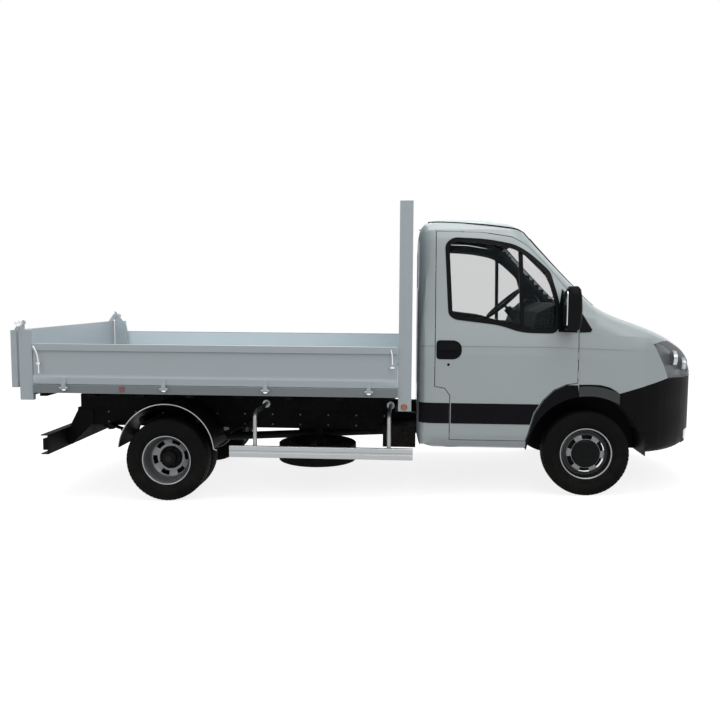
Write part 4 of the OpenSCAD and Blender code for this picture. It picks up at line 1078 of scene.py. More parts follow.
    def screen(self):
        border = [(-786, 1655), (786, 1655), (790, 1760), (742, 2190), (700, 2232), (-700, 2232),
                  (-742, 2190), (-790, 1760)]
        hole = [(-700, 1690), (700, 1690), (702, 1740), (690, 2196), (-690, 2196), (-702, 1740)]
        form = Form()
        skin_patch(form, even(border, 40), 1, -1.5, 5, [even(hole, 40)], 40, axis=0)
        form.make("windscreen_border", coat("frame_black"), "chassis", "black_plastic", 0)
        for name, side in SIDES:
            z = np.linspace(2195, 1660, 24)
            p = np.stack([np.full(24, FX + 1300.0), np.full(24, side * 782.0), z], 1)
            seal = Form().tube(on_skin(p, 0, 2, 160), 6, n=8)
            pivot = on_skin([(FX + 1300, side * 560, 1640)], 0, 4, 160)[0]
            seal.lathe([(0.1, pivot[2] - 30), (22, pivot[2] - 30), (20, pivot[2] + 12),
                        (12, pivot[2] + 22), (0.1, pivot[2] + 24)],
                       (pivot[0] + 6, pivot[1], 0), n=16, axis=2)
            seal.make(f"screen_seal_{name}", coat("seal_rubber"), "chassis", "black_plastic")
        for n, (y0, y1, z1) in enumerate(((-640, 60, 1702), (100, 700, 1700))):
            ys = np.linspace(y0, y1, 24)
            zs = np.linspace(1652, z1, 24)
            p = np.stack([np.full(24, FX + 1300.0), ys, zs], 1)
            arm = Form().tube(on_skin(p, 0, 12, 160), np.linspace(9, 4, 24), n=8)
            blade = np.stack([np.full(24, FX + 1300.0), np.linspace(y0 + 120, y1 - 10, 24),
                              np.linspace(1690, z1 + 18, 24)], 1)
            arm.tube(on_skin(blade, 0, 7, 160), 5, n=6)
            arm.make(f"wiper_{n + 1}", coat("seal_rubber"), "chassis", "black_plastic")


class TRUCK_OT_front_end(bpy.types.Operator):
    """Adds headlamps, grille bars, air intake, fog lamps and a blank number plate"""
    bl_idname = "truck.front_end"
    bl_label = "Front end"

    def execute(self, context):
        panel("headlamps", "headlamp_glass", ["lamp_glass", "lamp_case", "lamp_case"], "chassis",
              slot="clear_glass", bevel=1.5, arch=False, inside_from=-4, cell=36)
        for name, side in SIDES:
            form, bright = Form(), Form()
            for y, z, r, back in ((-812, 1236, 58, 34), (-662, 1180, 50, 34)):
                x = on_skin([(FX + 1300, y, z)], 0, 0, 160)[0][0] - back
                bowl = [(0.1, x - 15), (r * 0.5, x - 10), (r * 0.8, x), (r, x + 14),
                        (r + 5, x + 14), (r + 5, x - 16), (0.1, x - 18)]
                bright.lathe(bowl, (0, -y * side, z), n=36, axis=0)
                form.lathe([(0.1, x - 12), (9, x - 10), (9, x + 4), (0.1, x + 9)],
                           (0, -y * side, z), n=16, axis=0)
            bright.make(f"lamp_bowls_{name}", coat("reflector"), "chassis", "lamp_lens")
            form.make(f"lamp_bulbs_{name}", coat("white_lens"), "chassis", "lamp_lens")
            lens = Form()
            y, z = 610 * side, 590
            loop = [(y - 62, z - 40), (y + 62, z - 40), (y + 62, z + 40), (y - 62, z + 40)]
            skin_patch(lens, even(rounded(loop, 60, 26, 5), 20), 1, 2, 8, step=20, axis=0)
            lens.make(f"fog_lamp_{name}", coat("white_lens"), "chassis", "lamp_lens", 2)
        bars = Form()
        for z in (1070, 1098, 1126, 1154, 1180):
            half = 452 if z > 1060 else 430
            loop = [(-half, z - 6), (half, z - 6), (half, z + 6), (-half, z + 6)]
            skin_patch(bars, even(loop, 40), 1, 3.5, 12, step=40, axis=0)
        bars.make("grille_bars", coat("brushed_alloy"), "chassis", "brushed_alloy" and "galvanised",
                  1.5)
        mouth = Form()
        loop = [(-440, 520), (440, 520), (400, 612), (-400, 612)]
        skin_patch(mouth, even(loop, 34), 1, 0.8, 6, step=34, axis=0)
        mouth.make("air_intake", coat("frame_black"), "chassis", "black_plastic")
        slats = Form()
        for z in (540, 566, 592):
            loop = [(-415, z - 5), (415, z - 5), (415, z + 5), (-415, z + 5)]
            skin_patch(slats, even(loop, 40), 1, 5, 10, step=40, axis=0)
        slats.make("intake_slats", coat("bumper_plastic"), "chassis", "black_plastic", 1.5)
        plate = Form()
        loop = [(-260, 660), (260, 660), (260, 770), (-260, 770)]
        skin_patch(plate, even(loop, 40), 1, 2, 6, step=40, axis=0)
        plate.make("front_plate", coat("plate_white"), "chassis", "white_paint", 1)
        return {"FINISHED"}


# ---- Wheels ----


def tyre_profile(half, inner):
    """(radius, along) round one tyre, outer crown to bead and back."""
    out = []
    for r, y in ((inner, 0.66), (inner + 6, 0.82), (inner + 16, 0.86), (inner + 40, 0.965),
                 (inner + 66, 1.0), (inner + 92, 0.975), (inner + 112, 0.93), (inner + 128, 0.86),
                 (inner + 136, 0.78)):
        out.append((r, y * half))
    crown = [(338, 0.74 * half), (339, 0.5 * half), (339.5, 0.0)]
    side = out + crown
    return side + [(r, -y) for r, y in reversed(side[:-1])]


def blocks(half):
    """One pitch of tread: four staggered blocks on the crown."""
    form = Form(level)
    for k, (y0, y1, turn) in enumerate(((-0.83, -0.5, 0), (-0.44, -0.03, 0.5), (0.03, 0.44, 0),
                                        (0.5, 0.83, 0.5))):
        top = 345.6 if abs(y0 + y1) < 1 else 342.5
        edge_top = 345.6 if k in (1, 2) else 343.4
        a0, a1 = (0.06 + turn) * 0.1047, (0.9 + turn) * 0.1047
        ring = []
        for a in (a0, a1):
            skew = (a1 - a0) * 0.25
            ring.append([(r * math.sin(t), y, r * math.cos(t))
                         for y, t, r in ((y0 * half, a, 332), (y1 * half, a + skew, 332),
                                         (y1 * half, a + skew, top if y1 < 0.5 else 342),
                                         (y0 * half, a, edge_top if y0 > -0.8 else 342))])
        form.rings([np.array(r) for r in ring])
    return form


def tyre(name, centre, bodies, stands_for, half, gaps=(0.0,)):
    """Tyres on one hub: rubber with ribs, and tread blocks round the crown."""
    form = Form(level)
    for y in gaps:
        form.lathe(tyre_profile(half, 203.6), np.array(centre) + (0, y, 0), n=96, closed=True)
        for r, proud in ((232, 0.955), (296, 0.987), (322, 0.905)):
            for sign in (-1, 1):
                form.lathe([(r - 2.5, sign * half * proud - sign * 3), (r, sign * half * proud),
                            (r + 2.5, sign * half * proud - sign * 3)],
                           np.array(centre) + (0, y, 0), n=96, closed=True)
    form.make(name, coat("tyre_rubber"), bodies, "tyre_rubber", 0, (stands_for,), 40)
    for n, y in enumerate(gaps):
        tread = blocks(half)
        tread.v = [v + level([np.array(centre) + (0, y, 0)]) - level([(0, 0, 0)]) for v in tread.v]
        repeat(tread, f"{name}_tread" + (f"_{n + 1}" if len(gaps) > 1 else ""),
               coat("tyre_rubber"), bodies, 60, (0, math.tau / 60, 0),
               level([np.array(centre) + (0, y, 0)])[0], "tyre_rubber")


def disc(form, centre, profile, slots, mat=0, phase=0.0, n=96, back=7.0):
    """A dished wheel disc with long slots cut through its ring between two profile points."""
    radii = [p[0] for p in profile]
    v, faces, index = [], [], {}
    for layer in (0, back):
        for i, (r, y) in enumerate(profile):
            for k in range(n):
                a = math.tau * k / n + phase
                index[layer, i, k] = len(v)
                v.append((r * math.cos(a), y + layer, r * math.sin(a)))
    first, last, share = slots["from"], slots["to"], slots["share"]
    per = n // slots["count"]

    def open_at(i, k):
        inside = first <= i < last
        wide = int(per * share)
        return inside and (k % per) < wide

    rows = len(profile) - 1
    for i in range(rows):
        for k in range(n):
            j = (k + 1) % n
            if open_at(i, k):
                continue
            for layer, turn in ((0, 1), (back, -1)):
                q = [index[layer, i, k], index[layer, i, j], index[layer, i + 1, j],
                     index[layer, i + 1, k]]
                faces.append(q[::turn])
            for (ni, nk), (a, b) in {(i, k - 1): ((i, k), (i + 1, k)),
                                     (i, k + 1): ((i + 1, j), (i, j)),
                                     (i - 1, k): ((i, j), (i, k)),
                                     (i + 1, k): ((i + 1, k), (i + 1, j))}.items():
                if ni < 0 or ni >= rows or open_at(ni, nk % n):
                    faces.append([index[0, a[0], a[1] % n], index[0, b[0], b[1] % n],
                                  index[back, b[0], b[1] % n], index[back, a[0], a[1] % n]])
    form.add(np.array(v) + np.asarray(centre, float), faces, mat)


def nuts(name, centre, body, r, y, size, count, high, material="bolt_zinc", phase=0.0, side=1):
    """Hexagon nuts round a hub."""
    one = Form(level)
    a = np.linspace(0, math.tau, 6, endpoint=False)
    here = np.array(centre) + (r * math.cos(phase), 0, r * math.sin(phase))
    one.rings([np.stack([size * s * np.cos(a), np.full(6, y + side * h), size * s * np.sin(a)], 1)
               + here for h, s in ((-2, 1), (high * 0.75, 1), (high, 0.75))])
    repeat(one, name, coat(material), body, count, (0, math.tau / count, 0), level([centre])[0],
           "rim_steel", angle=30)


class TRUCK_OT_wheels(bpy.types.Operator):
    """Builds tyres with tread, and rims with their discs, nuts and caps"""
    bl_idname = "truck.wheels"
    bl_label = "Wheels"

    def execute(self, context):
        half = TYRE_W / 2
        for name, side in SIDES:
            hub = middle(f"front_tyre_{name}")
            centre = ((hub.x - REAR_AXLE.x) / MM, hub.y / MM, TYRE_R)
            body = f"front_wheel_{name}"
            tyre(f"front_tread_{name}", centre, body, f"front_tyre_{name}", half)
            self.front_rim(name, side, centre, body, half)
            hub = middle(f"rear_tyres_{name}")
            centre = (0, hub.y / MM, TYRE_R)
            body = f"rear_wheels_{name}"
            tyre(f"rear_tread_{name}", centre, body, f"rear_tyres_{name}", half,
                 (-107.5, 107.5))
            self.rear_rim(name, side, centre, body, half)
        return {"FINISHED"}

    def barrel(self, form, centre, side, half, mat=0, lip_mat=1):
        """A rim's well, flanges and outer lip."""
        s = side
        w = half * 0.80
        well = [(203, s * w), (203, s * (w - 14)), (194, s * (w - 26)), (186, s * (w - 60)),
                (186, s * -(w - 60)), (194, s * -(w - 26)), (203, s * -(w - 14)),
                (203, s * -w), (199, s * -w), (190, s * -(w - 20)), (180, s * -(w - 58)),
                (180, s * (w - 58)), (189, s * (w - 24)), (198, s * (w - 6))]
        form.lathe(well, centre, mat, n=96, closed=True)
        form.lathe([(202, s * (w - 3)), (205, s * (w - 1)), (208, s * (w + 3)), (207, s * (w + 7)),
                    (203, s * (w + 7)), (198, s * (w + 3)), (197, s * (w - 4))], centre, lip_mat,
                   n=96, closed=True)
        form.lathe([(203, -s * (w - 3)), (212, -s * (w + 3)), (211, -s * (w + 7)),
                    (199, -s * (w + 3))], centre, mat, n=64, closed=True)

    def front_rim(self, name, side, centre, body, half):
        form = Form(level)
        s = side
        self.barrel(form, centre, s, half)
        y = s * (half * 0.80 - 26)
        profile = [(187, y - s * 22), (172, y - s * 18), (160, y - s * 2), (152, y + s * 8),
                   (144, y + s * 12), (136, y + s * 14), (118, y + s * 15), (100, y + s * 15),
                   (60, y + s * 14)]
        disc(form, centre, profile, {"from": 3, "to": 6, "share": 0.62, "count": 6}, 2,
             math.radians(8), back=-s * 7)
        form.make(f"front_wheel_rim_{name}",
                  [coat("rim_dark"), coat("rim_bright"), coat("rim_silver")], body, "rim_steel", 1,
                  (f"front_rim_{name}",), 40)
        cap = Form(level)
        cap.lathe([(112, y + s * 15), (114, y + s * 20), (110, y + s * 27), (98, y + s * 33),
                   (78, y + s * 37), (50, y + s * 38), (47, y + s * 36), (44, y + s * 38),
                   (20, y + s * 39), (0.1, y + s * 39)], centre, n=64)
        cap.lathe([(100, y - s * 10), (100, y + s * 14), (40, y + s * 14), (40, y - s * 10)], centre,
                  n=48, closed=True)
        cap.make(f"front_hub_cap_{name}", coat("frame_black"), body, "black_plastic", 0)
        hub = Form(level)
        hub.lathe([(38, y - s * 60), (60, y - s * 60), (62, y - s * 2), (38, y - s * 2)], centre,
                  n=40, closed=True)
        hub.lathe([(60, y - s * 34), (152, y - s * 34), (152, y - s * 48), (60, y - s * 48)],
                  centre, n=64, closed=True)
        hub.make(f"front_hub_{name}", coat("cast_iron"), body, "rim_steel", 1)

    def rear_rim(self, name, side, centre, body, half):
        form = Form(level)
        s = side
        outer = np.array(centre) + (0, s * 107.5, 0)
        inner = np.array(centre) - (0, s * 107.5, 0)
        self.barrel(form, outer, s, half, 0, 1)
        self.barrel(form, inner, -s, half, 0, 0)
        y = -s * 40
        profile = [(184, y + s * 62), (180, y + s * 50), (172, y + s * 26), (164, y + s * 10),
                   (152, y + s * 2), (143, y - s * 2), (130, y - s * 8), (118, y - s * 12),
                   (104, y - s * 14), (70, y - s * 14)]
        disc(form, outer, profile, {"from": 4, "to": 7, "share": 0.5, "count": 6}, 0,
             math.radians(-8), back=-s * 7)
        disc(form, inner, [(r, -v) for r, v in profile],
             {"from": 4, "to": 7, "share": 0.5, "count": 6}, 0, math.radians(-8), back=s * 7)
        form.make(f"rear_wheel_rims_{name}", [coat("rim_silver"), coat("rim_bright")], body,
                  "rim_steel", 1, (f"rear_rims_{name}",), 40)
        hub = Form(level)
        yo = centre[1] * 0 + s * 107.5 + y
        hub.lathe([(0.1, yo + s * 62), (52, yo + s * 60), (60, yo + s * 54), (62, yo + s * 8),
                   (84, yo + s * 2), (96, yo - s * 6), (96, yo - s * 13), (64, yo - s * 13),
                   (64, yo - s * 60), (0.1, yo - s * 60)], centre, n=48)
        hub.lathe([(60, yo - s * 64), (160, yo - s * 64), (160, yo - s * 84), (60, yo - s * 84)],
                  centre, n=64, closed=True)
        hub.make(f"rear_hub_{name}", coat("rim_dark"), body, "rim_steel", 1)
        nuts(f"rear_nuts_{name}", centre, body, 82, yo + s * 2, 13, 6, 20, "rim_dark", 0.3, s)


# ---- Bed ----


class TRUCK_OT_bed(bpy.types.Operator):
    """Finishes the tipping bed and adds its hinges, latches, markers and end fittings"""
    bl_idname = "truck.bed"
    bl_label = "Bed"

    def execute(self, context):
        for part in ("headboard", "side_board_right", "side_board_left", "tailgate"):
            keep(part, "bed_paint", 2.5)
        keep("bed_floor", "bed_paint", 2)
        keep("bed_bearers", "chassis_black", 2)
        floor = Form()
        floor.box((BED_TAIL + 40, -BED_HALF + 45, 988.2), (HEAD_BACK - 2, BED_HALF - 45, 989.4))
        floor.make("floor_plate", coat("bed_floor_paint"), "bed", "bed_paint")
        step = (BOARD_X1 - BOARD_X0 - 490) / 3
        for name, side in SIDES:
            board = f"side_board_{name}"
            caps = Form()
            y = side * BED_HALF
            caps.lathe([(0.1, y + side * 2), (21, y + side * 2), (24, y + side * 8),
                        (22, y + side * 15), (12, y + side * 18), (0.1, y + side * 18)],
                       (BOARD_X0 + 265, 0, 957), n=24)
            repeat(caps, f"hinge_caps_{name}", coat("chrome"), "bed", 4, lean_step(step),
                   slot="galvanised")
            rod = Form()
            yy = side * 1086
            rod.tube([(-1073, yy, 1300), (-1060, yy, 1282), (-1047, yy, 1254), (-1037, yy, 1218),
                      (-1032, yy, 1180), (-1030, yy, 1130), (-1029, yy, 1078)], 6.5, n=10)
            rod.tube([(1860, yy, 1300), (1868, yy, 1270), (1872, yy, 1230), (1872, yy, 1180)], 6,
                     n=10)
            for x in (-1031, 1872):
                rod.box((x - 16, min(side * 1072, side * 1092), 1150),
                        (x + 16, max(side * 1072, side * 1092), 1166))
            rod.make(f"latch_rods_{name}", coat("chrome"), board, "galvanised", 1)
            markers = Form()
            for x in (-341,):
                markers.box((x - 21, min(y, y + side * 9), 932), (x + 21, max(y, y + side * 9), 974))
            markers.make(f"side_marker_{name}", coat("red_lens"), "bed", "red_lens", 3)
            amber = Form()
            amber.lathe([(0.1, side * 1048), (24, side * 1048), (26, side * 1054),
                         (20, side * 1062), (0.1, side * 1065)], (1967, 0, 838), n=28)
            amber.make(f"side_lamp_{name}", coat("amber_lens"), "bed", "lamp_lens")
            # The sill strip is painted darker than the bed: painted shade under the boards.
            sill = Form().box((BED_TAIL + 112, min(side * 1060, side * 1070.9), 915.5),
                              (HEAD_BACK - 4, max(side * 1060, side * 1070.9), 981.5))
            sill.make(f"sill_painted_shade_strip_{name}", coat("sill_painted_shade"), "bed", "bed_paint", 1)
            self.end_plates(name, side)
        return {"FINISHED"}

    def end_plates(self, name, side):
        if side > 0:
            fin = Form()
            fin.slab([(-1202, 1080), (-1063, 1080), (-1063, 1321), (-1068, 1361), (-1078, 1403),
                      (-1116, 1440), (-1186, 1532), (-1202, 1536)], 1000, 1010)
            fin.make(f"end_fin_{name}", coat("bed_paint"), "bed", "bed_paint", 2)
        knob = Form()
        knob.lathe([(0.1, side * 1061), (20, side * 1061), (20, side * 1068), (34, side * 1072),
                    (36, side * 1082), (30, side * 1092), (14, side * 1097), (0.1, side * 1098)],
                   (-1193, 0, 1490), n=28)
        knob.make(f"gate_knob_{name}", coat("chrome"), "bed", "galvanised")
        # A lighter copy of the bed paint inside each side board: painted light where light falls on that face.
        inner = Form().box((BOARD_X0 + 14, min(side * 1030.6, side * 1031.4), 1000),
                           (BOARD_X1 - 14, max(side * 1030.6, side * 1031.4), 1312))
        inner.make(f"board_painted_light_panel_{name}", coat("board_inside_painted_light"), f"side_board_{name}", "bed_paint")


def keep(part, material, bevel=1.5, angle=30):
    """A CAD node keeps its mesh and gets a finish and rounded edges."""
    node_object = NODES[part]
    node_object.data.materials.clear()
    node_object.data.materials.append(coat(material))
    weld = node_object.modifiers.new("Merged corners", "WELD")
    weld.merge_threshold = 2e-5
    if bevel:
        edge(node_object, bevel, angle)


# ---- Chassis ----


class TRUCK_OT_chassis(bpy.types.Operator):
    """Finishes frame, axles, springs, tanks, guards and lamps, with their small parts"""
    bl_idname = "truck.chassis"
    bl_label = "Chassis"

    def execute(self, context):
        for material, bevel, parts in (
                ("chassis_black", 1.5, ("chassis_rails", "crossmembers", "tipping_subframe",
                                        "underrun_beam", "front_suspension", "spare_carrier",
                                        "battery_box", "knuckle_right", "knuckle_left")),
                ("cast_iron", 1.5, ("engine", "rear_axle", "propshaft")),
                ("spring_black", 1, ("leaf_springs",)),
                ("hot_steel", 1, ("exhaust",)),
                ("tank_plastic", 6, ("fuel_tank",)),
                ("mudguard_black", 1, ("mudguards",)),
                ("lining", 1, ("cab_floor",)),
                ("window_glass", 0, ("rear_window",))):
            for part in parts:
                keep(part, material, bevel)
        self.guard_rails()
        self.mudguard_lips()
        self.lamps()
        self.spare()
        self.bolts()
        return {"FINISHED"}

    def guard_rails(self):
        for name, side in SIDES:
            x0, x1 = 528, CAB_X - 28
            form = Form()
            y_in, y_out = side * 968, side * 1000
            o = np.array([(y_in, 391), (y_out - side * 6, 391), (y_out, 397), (y_out, 428),
                          (y_out - side * 5, 432), (y_out - side * 5, 445), (y_out, 449),
                          (y_out, 480), (y_out - side * 6, 486), (y_in, 486)])
            form.rings([np.stack([np.full(len(o), x), o[:, 0], o[:, 1]], 1) for x in (x0, x1)])
            form.make(f"side_guard_{name}", coat("brushed_alloy"), "chassis", "galvanised", 1.5,
                      ("guard_rails",) if side < 0 else ())
            hoops = Form()
            for x in (735, CAB_X - 224):
                y = side * 951
                a = np.radians(np.linspace(0, 90, 8))
                bend = [(x, y - side * 66 * (1 - math.cos(t)), 693 + 66 * math.sin(t)) for t in a]
                hoops.tube([(x, y, 420), (x, y, 560)] + bend + [(x, side * 436, 759)], 17, n=16)
                hoops.lathe([(0.1, side * 428), (34, side * 428), (34, side * 438),
                             (0.1, side * 438)], (x, 0, 759), n=20)
            hoops.make(f"guard_hoops_{name}", coat("galvanised"), "chassis", "galvanised")

    def mudguard_lips(self):
        for name, side in SIDES:
            form = Form()
            a = np.radians(np.linspace(-4, 184, 60))
            arc = [(-5 + 405 * math.cos(t), 418 + 405 * math.sin(t)) for t in a]
            arc = [(x, z) for x, z in arc if z > 453]
            y = side * 1000
            path = [(x, y, z) for x, z in arc]
            foot = [(path[0][0] + 26, y, 446), (path[0][0] + 8, y, 452)]
            form.tube(foot + path, 4.5, n=8)
            form.make(f"mudguard_lip_{name}", coat("brushed_alloy"), "chassis", "galvanised")
            inner = Form()
            inner.tube([(x * 0.985 - 0.1, side * 560, z * 0.992) for x, z in arc], 4, n=8)
            inner.make(f"mudguard_edge_{name}", coat("mudguard_black"), "chassis", "black_plastic")

    def lamps(self):
        x = -1116 - 20
        for name, side in SIDES:
            case = Form().box((x, min(side * 620, side * 840), 385),
                              (x + 46, max(side * 620, side * 840), 485))
            case.make(f"rear_lamp_case_{name}", coat("band_plastic"), "chassis", "black_plastic", 4,
                      ("rear_lamps",) if side < 0 else ())
            for k, (y0, y1, material, slot) in enumerate(
                    ((628, 700, "red_lens", "red_lens"), (704, 764, "amber_lens", "lamp_lens"),
                     (768, 832, "red_lens", "red_lens"))):
                lens = Form().box((x - 4, min(side * y0, side * y1), 394),
                                  (x + 2, max(side * y0, side * y1), 476))
                lens.make(f"rear_lens_{name}_{k + 1}", coat(material), "chassis", slot, 3)
        plate = Form().box((-1095, -260, 372), (-1090.2, 260, 482))
        plate.make("rear_plate", coat("plate_white"), "chassis", "white_paint", 1.5)

    def spare(self):
        form = Form()
        centre = (1205, -500, 361)
        form.lathe([(y, r) for r, y in []] or [(r, y) for r, y in tyre_profile(90, 203.6)], centre,
                   0, n=80, axis=2, closed=True)
        w = 72
        form.lathe([(203, w), (203, w - 14), (186, w - 60), (186, -(w - 60)), (203, -(w - 14)),
                    (203, -w), (198, -w), (180, -(w - 58)), (180, w - 58), (198, w)], centre, 1,
                   n=80, axis=2, closed=True)
        form.lathe([(182, 10), (150, -18), (90, -22), (40, -22), (40, -29), (92, -29), (154, -25),
                    (182, 2)], centre, 1, n=64, axis=2, closed=True)
        form.make("spare_wheel_tyre", [coat("tyre_rubber"), coat("rim_dark")], "chassis",
                  "tyre_rubber", 0, ("spare_wheel",), 40)

    def bolts(self):
        for name, side in SIDES:
            a = np.linspace(0, math.tau, 6, endpoint=False)
            y = side * 430
            for k, (x, z, count, step) in enumerate(((-960, 575, 12, 250), (-960, 665, 12, 250))):
                one = Form().rings([np.stack([x + 9 * s * np.cos(a), np.full(6, y + side * h),
                                              z + 9 * s * np.sin(a)], 1)
                                    for h, s in ((-1, 1), (6, 1), (8, 0.7))])
                repeat(one, f"rail_bolts_{name}_{k + 1}", coat("bolt_zinc"), "chassis", count,
                       lean_step(step), slot="galvanised", angle=30)
            straps = Form()
        tank = [(900, 430, 340), (CAB_X - 330, 800, 640)]
        strap = Form()
        for x in (1010, CAB_X - 440):
            loop = [(432, 643), (790, 643), (803, 630), (803, 350), (790, 337), (432, 337)]
            strap.rings([np.array([(x - 20, y, z), (x + 20, y, z), (x + 20, y * 0.994, z * 0.994),
                                   (x - 20, y * 0.994, z * 0.994)]) for y, z in loop])
        strap.make("tank_straps", coat("galvanised"), "chassis", "galvanised")
        filler = Form()
        filler.lathe([(0.1, 640), (48, 640), (48, 662), (40, 668), (0.1, 668)],
                     (CAB_X - 400, 700, 0), n=28, axis=2)
        filler.make("tank_cap", coat("frame_black"), "chassis", "black_plastic")


# ---- Cab interior ----


def pad(name, low, high, crown, voxel, body, depth=14, stands_for=(), bend=None):
    """A stuffed cushion, swollen by cloth pressure; its sewn channels are pressed in later by channels()."""
    low, high = np.array(low, float), np.array(high, float)
    inset = np.minimum((high - low) * 0.06, 9)
    form = Form()
    form.box(low + inset, high - inset)
    made = form.make(name, coat("seat_cloth"), body)
    bpy.context.view_layer.objects.active = made
    bevel = made.modifiers.new("Round", "BEVEL")
    bevel.width, bevel.segments, bevel.limit_method = 0.03, 3, "NONE"
    remesh = made.modifiers.new("Even", "REMESH")
    remesh.mode, remesh.voxel_size = "VOXEL", voxel * MM
    bake(made)
    start = np.array([v.co for v in made.data.vertices])
    sim = made.modifiers.new("Stuffing", "CLOTH")
    sim.settings.use_pressure = True
    sim.settings.uniform_pressure_force = 4
    sim.settings.quality = 4
    sim.settings.effector_weights.gravity = 0
    scene = bpy.context.scene
    sim.point_cache.frame_start, sim.point_cache.frame_end = 1, 14
    for at in range(1, 15):
        scene.frame_set(at)
    bake(made)
    scene.frame_set(1)
    end = np.array([v.co for v in made.data.vertices])
    move = end - start
    size = np.linalg.norm(move, axis=1)
    end = start + move * (np.minimum(size, depth * MM) / np.maximum(size, 1e-9))[:, None]
    made.data.vertices.foreach_set("co", end.ravel())
    return made, low, high


def bake(piece):
    mesh = bpy.data.meshes.new_from_object(
        piece.evaluated_get(bpy.context.evaluated_depsgraph_get()))
    piece.modifiers.clear()
    old, piece.data = piece.data, mesh
    mesh.name = piece.name
    bpy.data.meshes.remove(old)


def channels(piece, axis, places, width, deep, face, lean_angle=None):
    """Presses sewn channels across a cushion."""
    p = unlean([v.co for v in piece.data.vertices])
    n = np.array([v.normal for v in piece.data.vertices])
    dip = sum(np.exp(-((p[:, axis] - at) / width) ** 2) for at in places)
    out = np.array([v.co for v in piece.data.vertices]) - n * (dip * deep * MM)[:, None] \
        * np.clip(np.abs(n[:, face]) * 1.3, 0, 1)[:, None]
    piece.data.vertices.foreach_set("co", out.ravel())
    piece.data.update()


def rake_back(piece, x, z, angle):
    """Leans a backrest about a line across the truck."""
    p = unlean([v.co for v in piece.data.vertices])
    c, s = math.cos(angle), math.sin(angle)
    dx, dz = p[:, 0] - x, p[:, 2] - z
    p[:, 0], p[:, 2] = x + dx * c - dz * s, z + dx * s + dz * c
    piece.data.vertices.foreach_set("co", lean(p).ravel())
    piece.data.update()


class TRUCK_OT_cab_interior(bpy.types.Operator):
    """Builds the seats, dashboard details and door armrests, and finishes the steering wheel"""
    bl_idname = "truck.cab_interior"
    bl_label = "Cab interior"

    def execute(self, context):
        keep("dashboard", "dash_plastic", 6)
        keep("steering_wheel", "dash_plastic", 3)
        for name, y0, y1, node_name in (("driver", 150, 650, "driver_seat"),
                                        ("bench", -850, -20, "passenger_bench")):
            voxel = 6 if name == "driver" else 8
            squab, *_ = pad(f"{name}_squab", (CAB_X + 330, y0, 932), (CAB_X + 888, y1, 1112), 20,
                            voxel, "chassis")
            back, *_ = pad(f"{name}_backrest", (CAB_X + 250, y0, 1100), (CAB_X + 372, y1, 1606), 20,
                           voxel, "chassis")
            rake_back(back, CAB_X + 330, 1100, math.radians(11))
            middle_y = (y0 + y1) / 2
            seams = [y0 + (y1 - y0) * t for t in ((0.24, 0.76) if name == "driver"
                                                  else (0.14, 0.5, 0.86))]
            for piece, axis, places in ((squab, 0, [CAB_X + 330 + d for d in (190, 300, 410)]),
                                        (back, 2, [1210, 1310, 1410, 1510])):
                channels(piece, axis, places, 7, 5, 2 if piece is squab else 0)
                channels(piece, 1, seams, 7, 6, 2 if piece is squab else 0)
                smoother = piece.modifiers.new("Smooth", "SUBSURF")
                smoother.levels = smoother.render_levels = 1
            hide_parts(node_name)
            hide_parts(node_name)
            plinth = Form().box((CAB_X + 350, y0 + 20, 742), (CAB_X + 820, y1 - 20, 928))
            plinth.make(f"{name}_plinth", coat("dash_plastic"), "chassis", "dark_trim", 12)
        self.dash()
        for name, side in SIDES:
            self.door_card(name, side)
        return {"FINISHED"}

    def dash(self):
        cluster = Form()
        o = rounded([(-330, 1560), (-250, 1600), (-250, 1690), (-310, 1700), (-400, 1625)], 40, 20, 4)
        cluster.slab([(FX + x, z) for x, z in o], 250, 560)
        cluster.make("instrument_hood", coat("dash_plastic"), "chassis", "dark_trim", 6)
        vents = Form()
        for y in (-640, -120, 60, 690):
            vents.box((FX - 436, y - 60, 1380), (FX - 420, y + 60, 1440))
        vents.make("dash_vents", coat("frame_black"), "chassis", "black_plastic", 3)
        gear = Form()
        gear.tube([(FX - 430, 120, 1250), (FX - 520, 120, 1290), (FX - 560, 120, 1350)],
                  [14, 10, 9], n=12)
        gear.lathe([(0.1, 1340), (20, 1345), (26, 1368), (20, 1392), (0.1, 1398)],
                   (FX - 562, 120, 0), n=20, axis=2)
        gear.make("gear_lever", coat("frame_black"), "chassis", "black_plastic")

    def door_card(self, name, side):
        rest = Form()
        o = rounded([(2380, 1130), (2900, 1130), (2960, 1180), (2900, 1215), (2400, 1235)], 60, 25, 5)
        rest.slab(o, side * (CAB_HALF - 64), side * (CAB_HALF - 100))
        rest.make(f"door_armrest_{name}", coat("dash_plastic"), f"door_{name}", "dark_trim", 8)


class TRUCK_OT_ram(bpy.types.Operator):
    """Finishes the tipping ram"""
    bl_idname = "truck.ram"
    bl_label = "Tipping ram"

    def execute(self, context):
        keep("ram_barrel", "ram_paint", 1.5)
        for part in ("ram_sleeve_1", "ram_sleeve_2", "ram_rod"):
            keep(part, "chrome", 1)
        return {"FINISHED"}


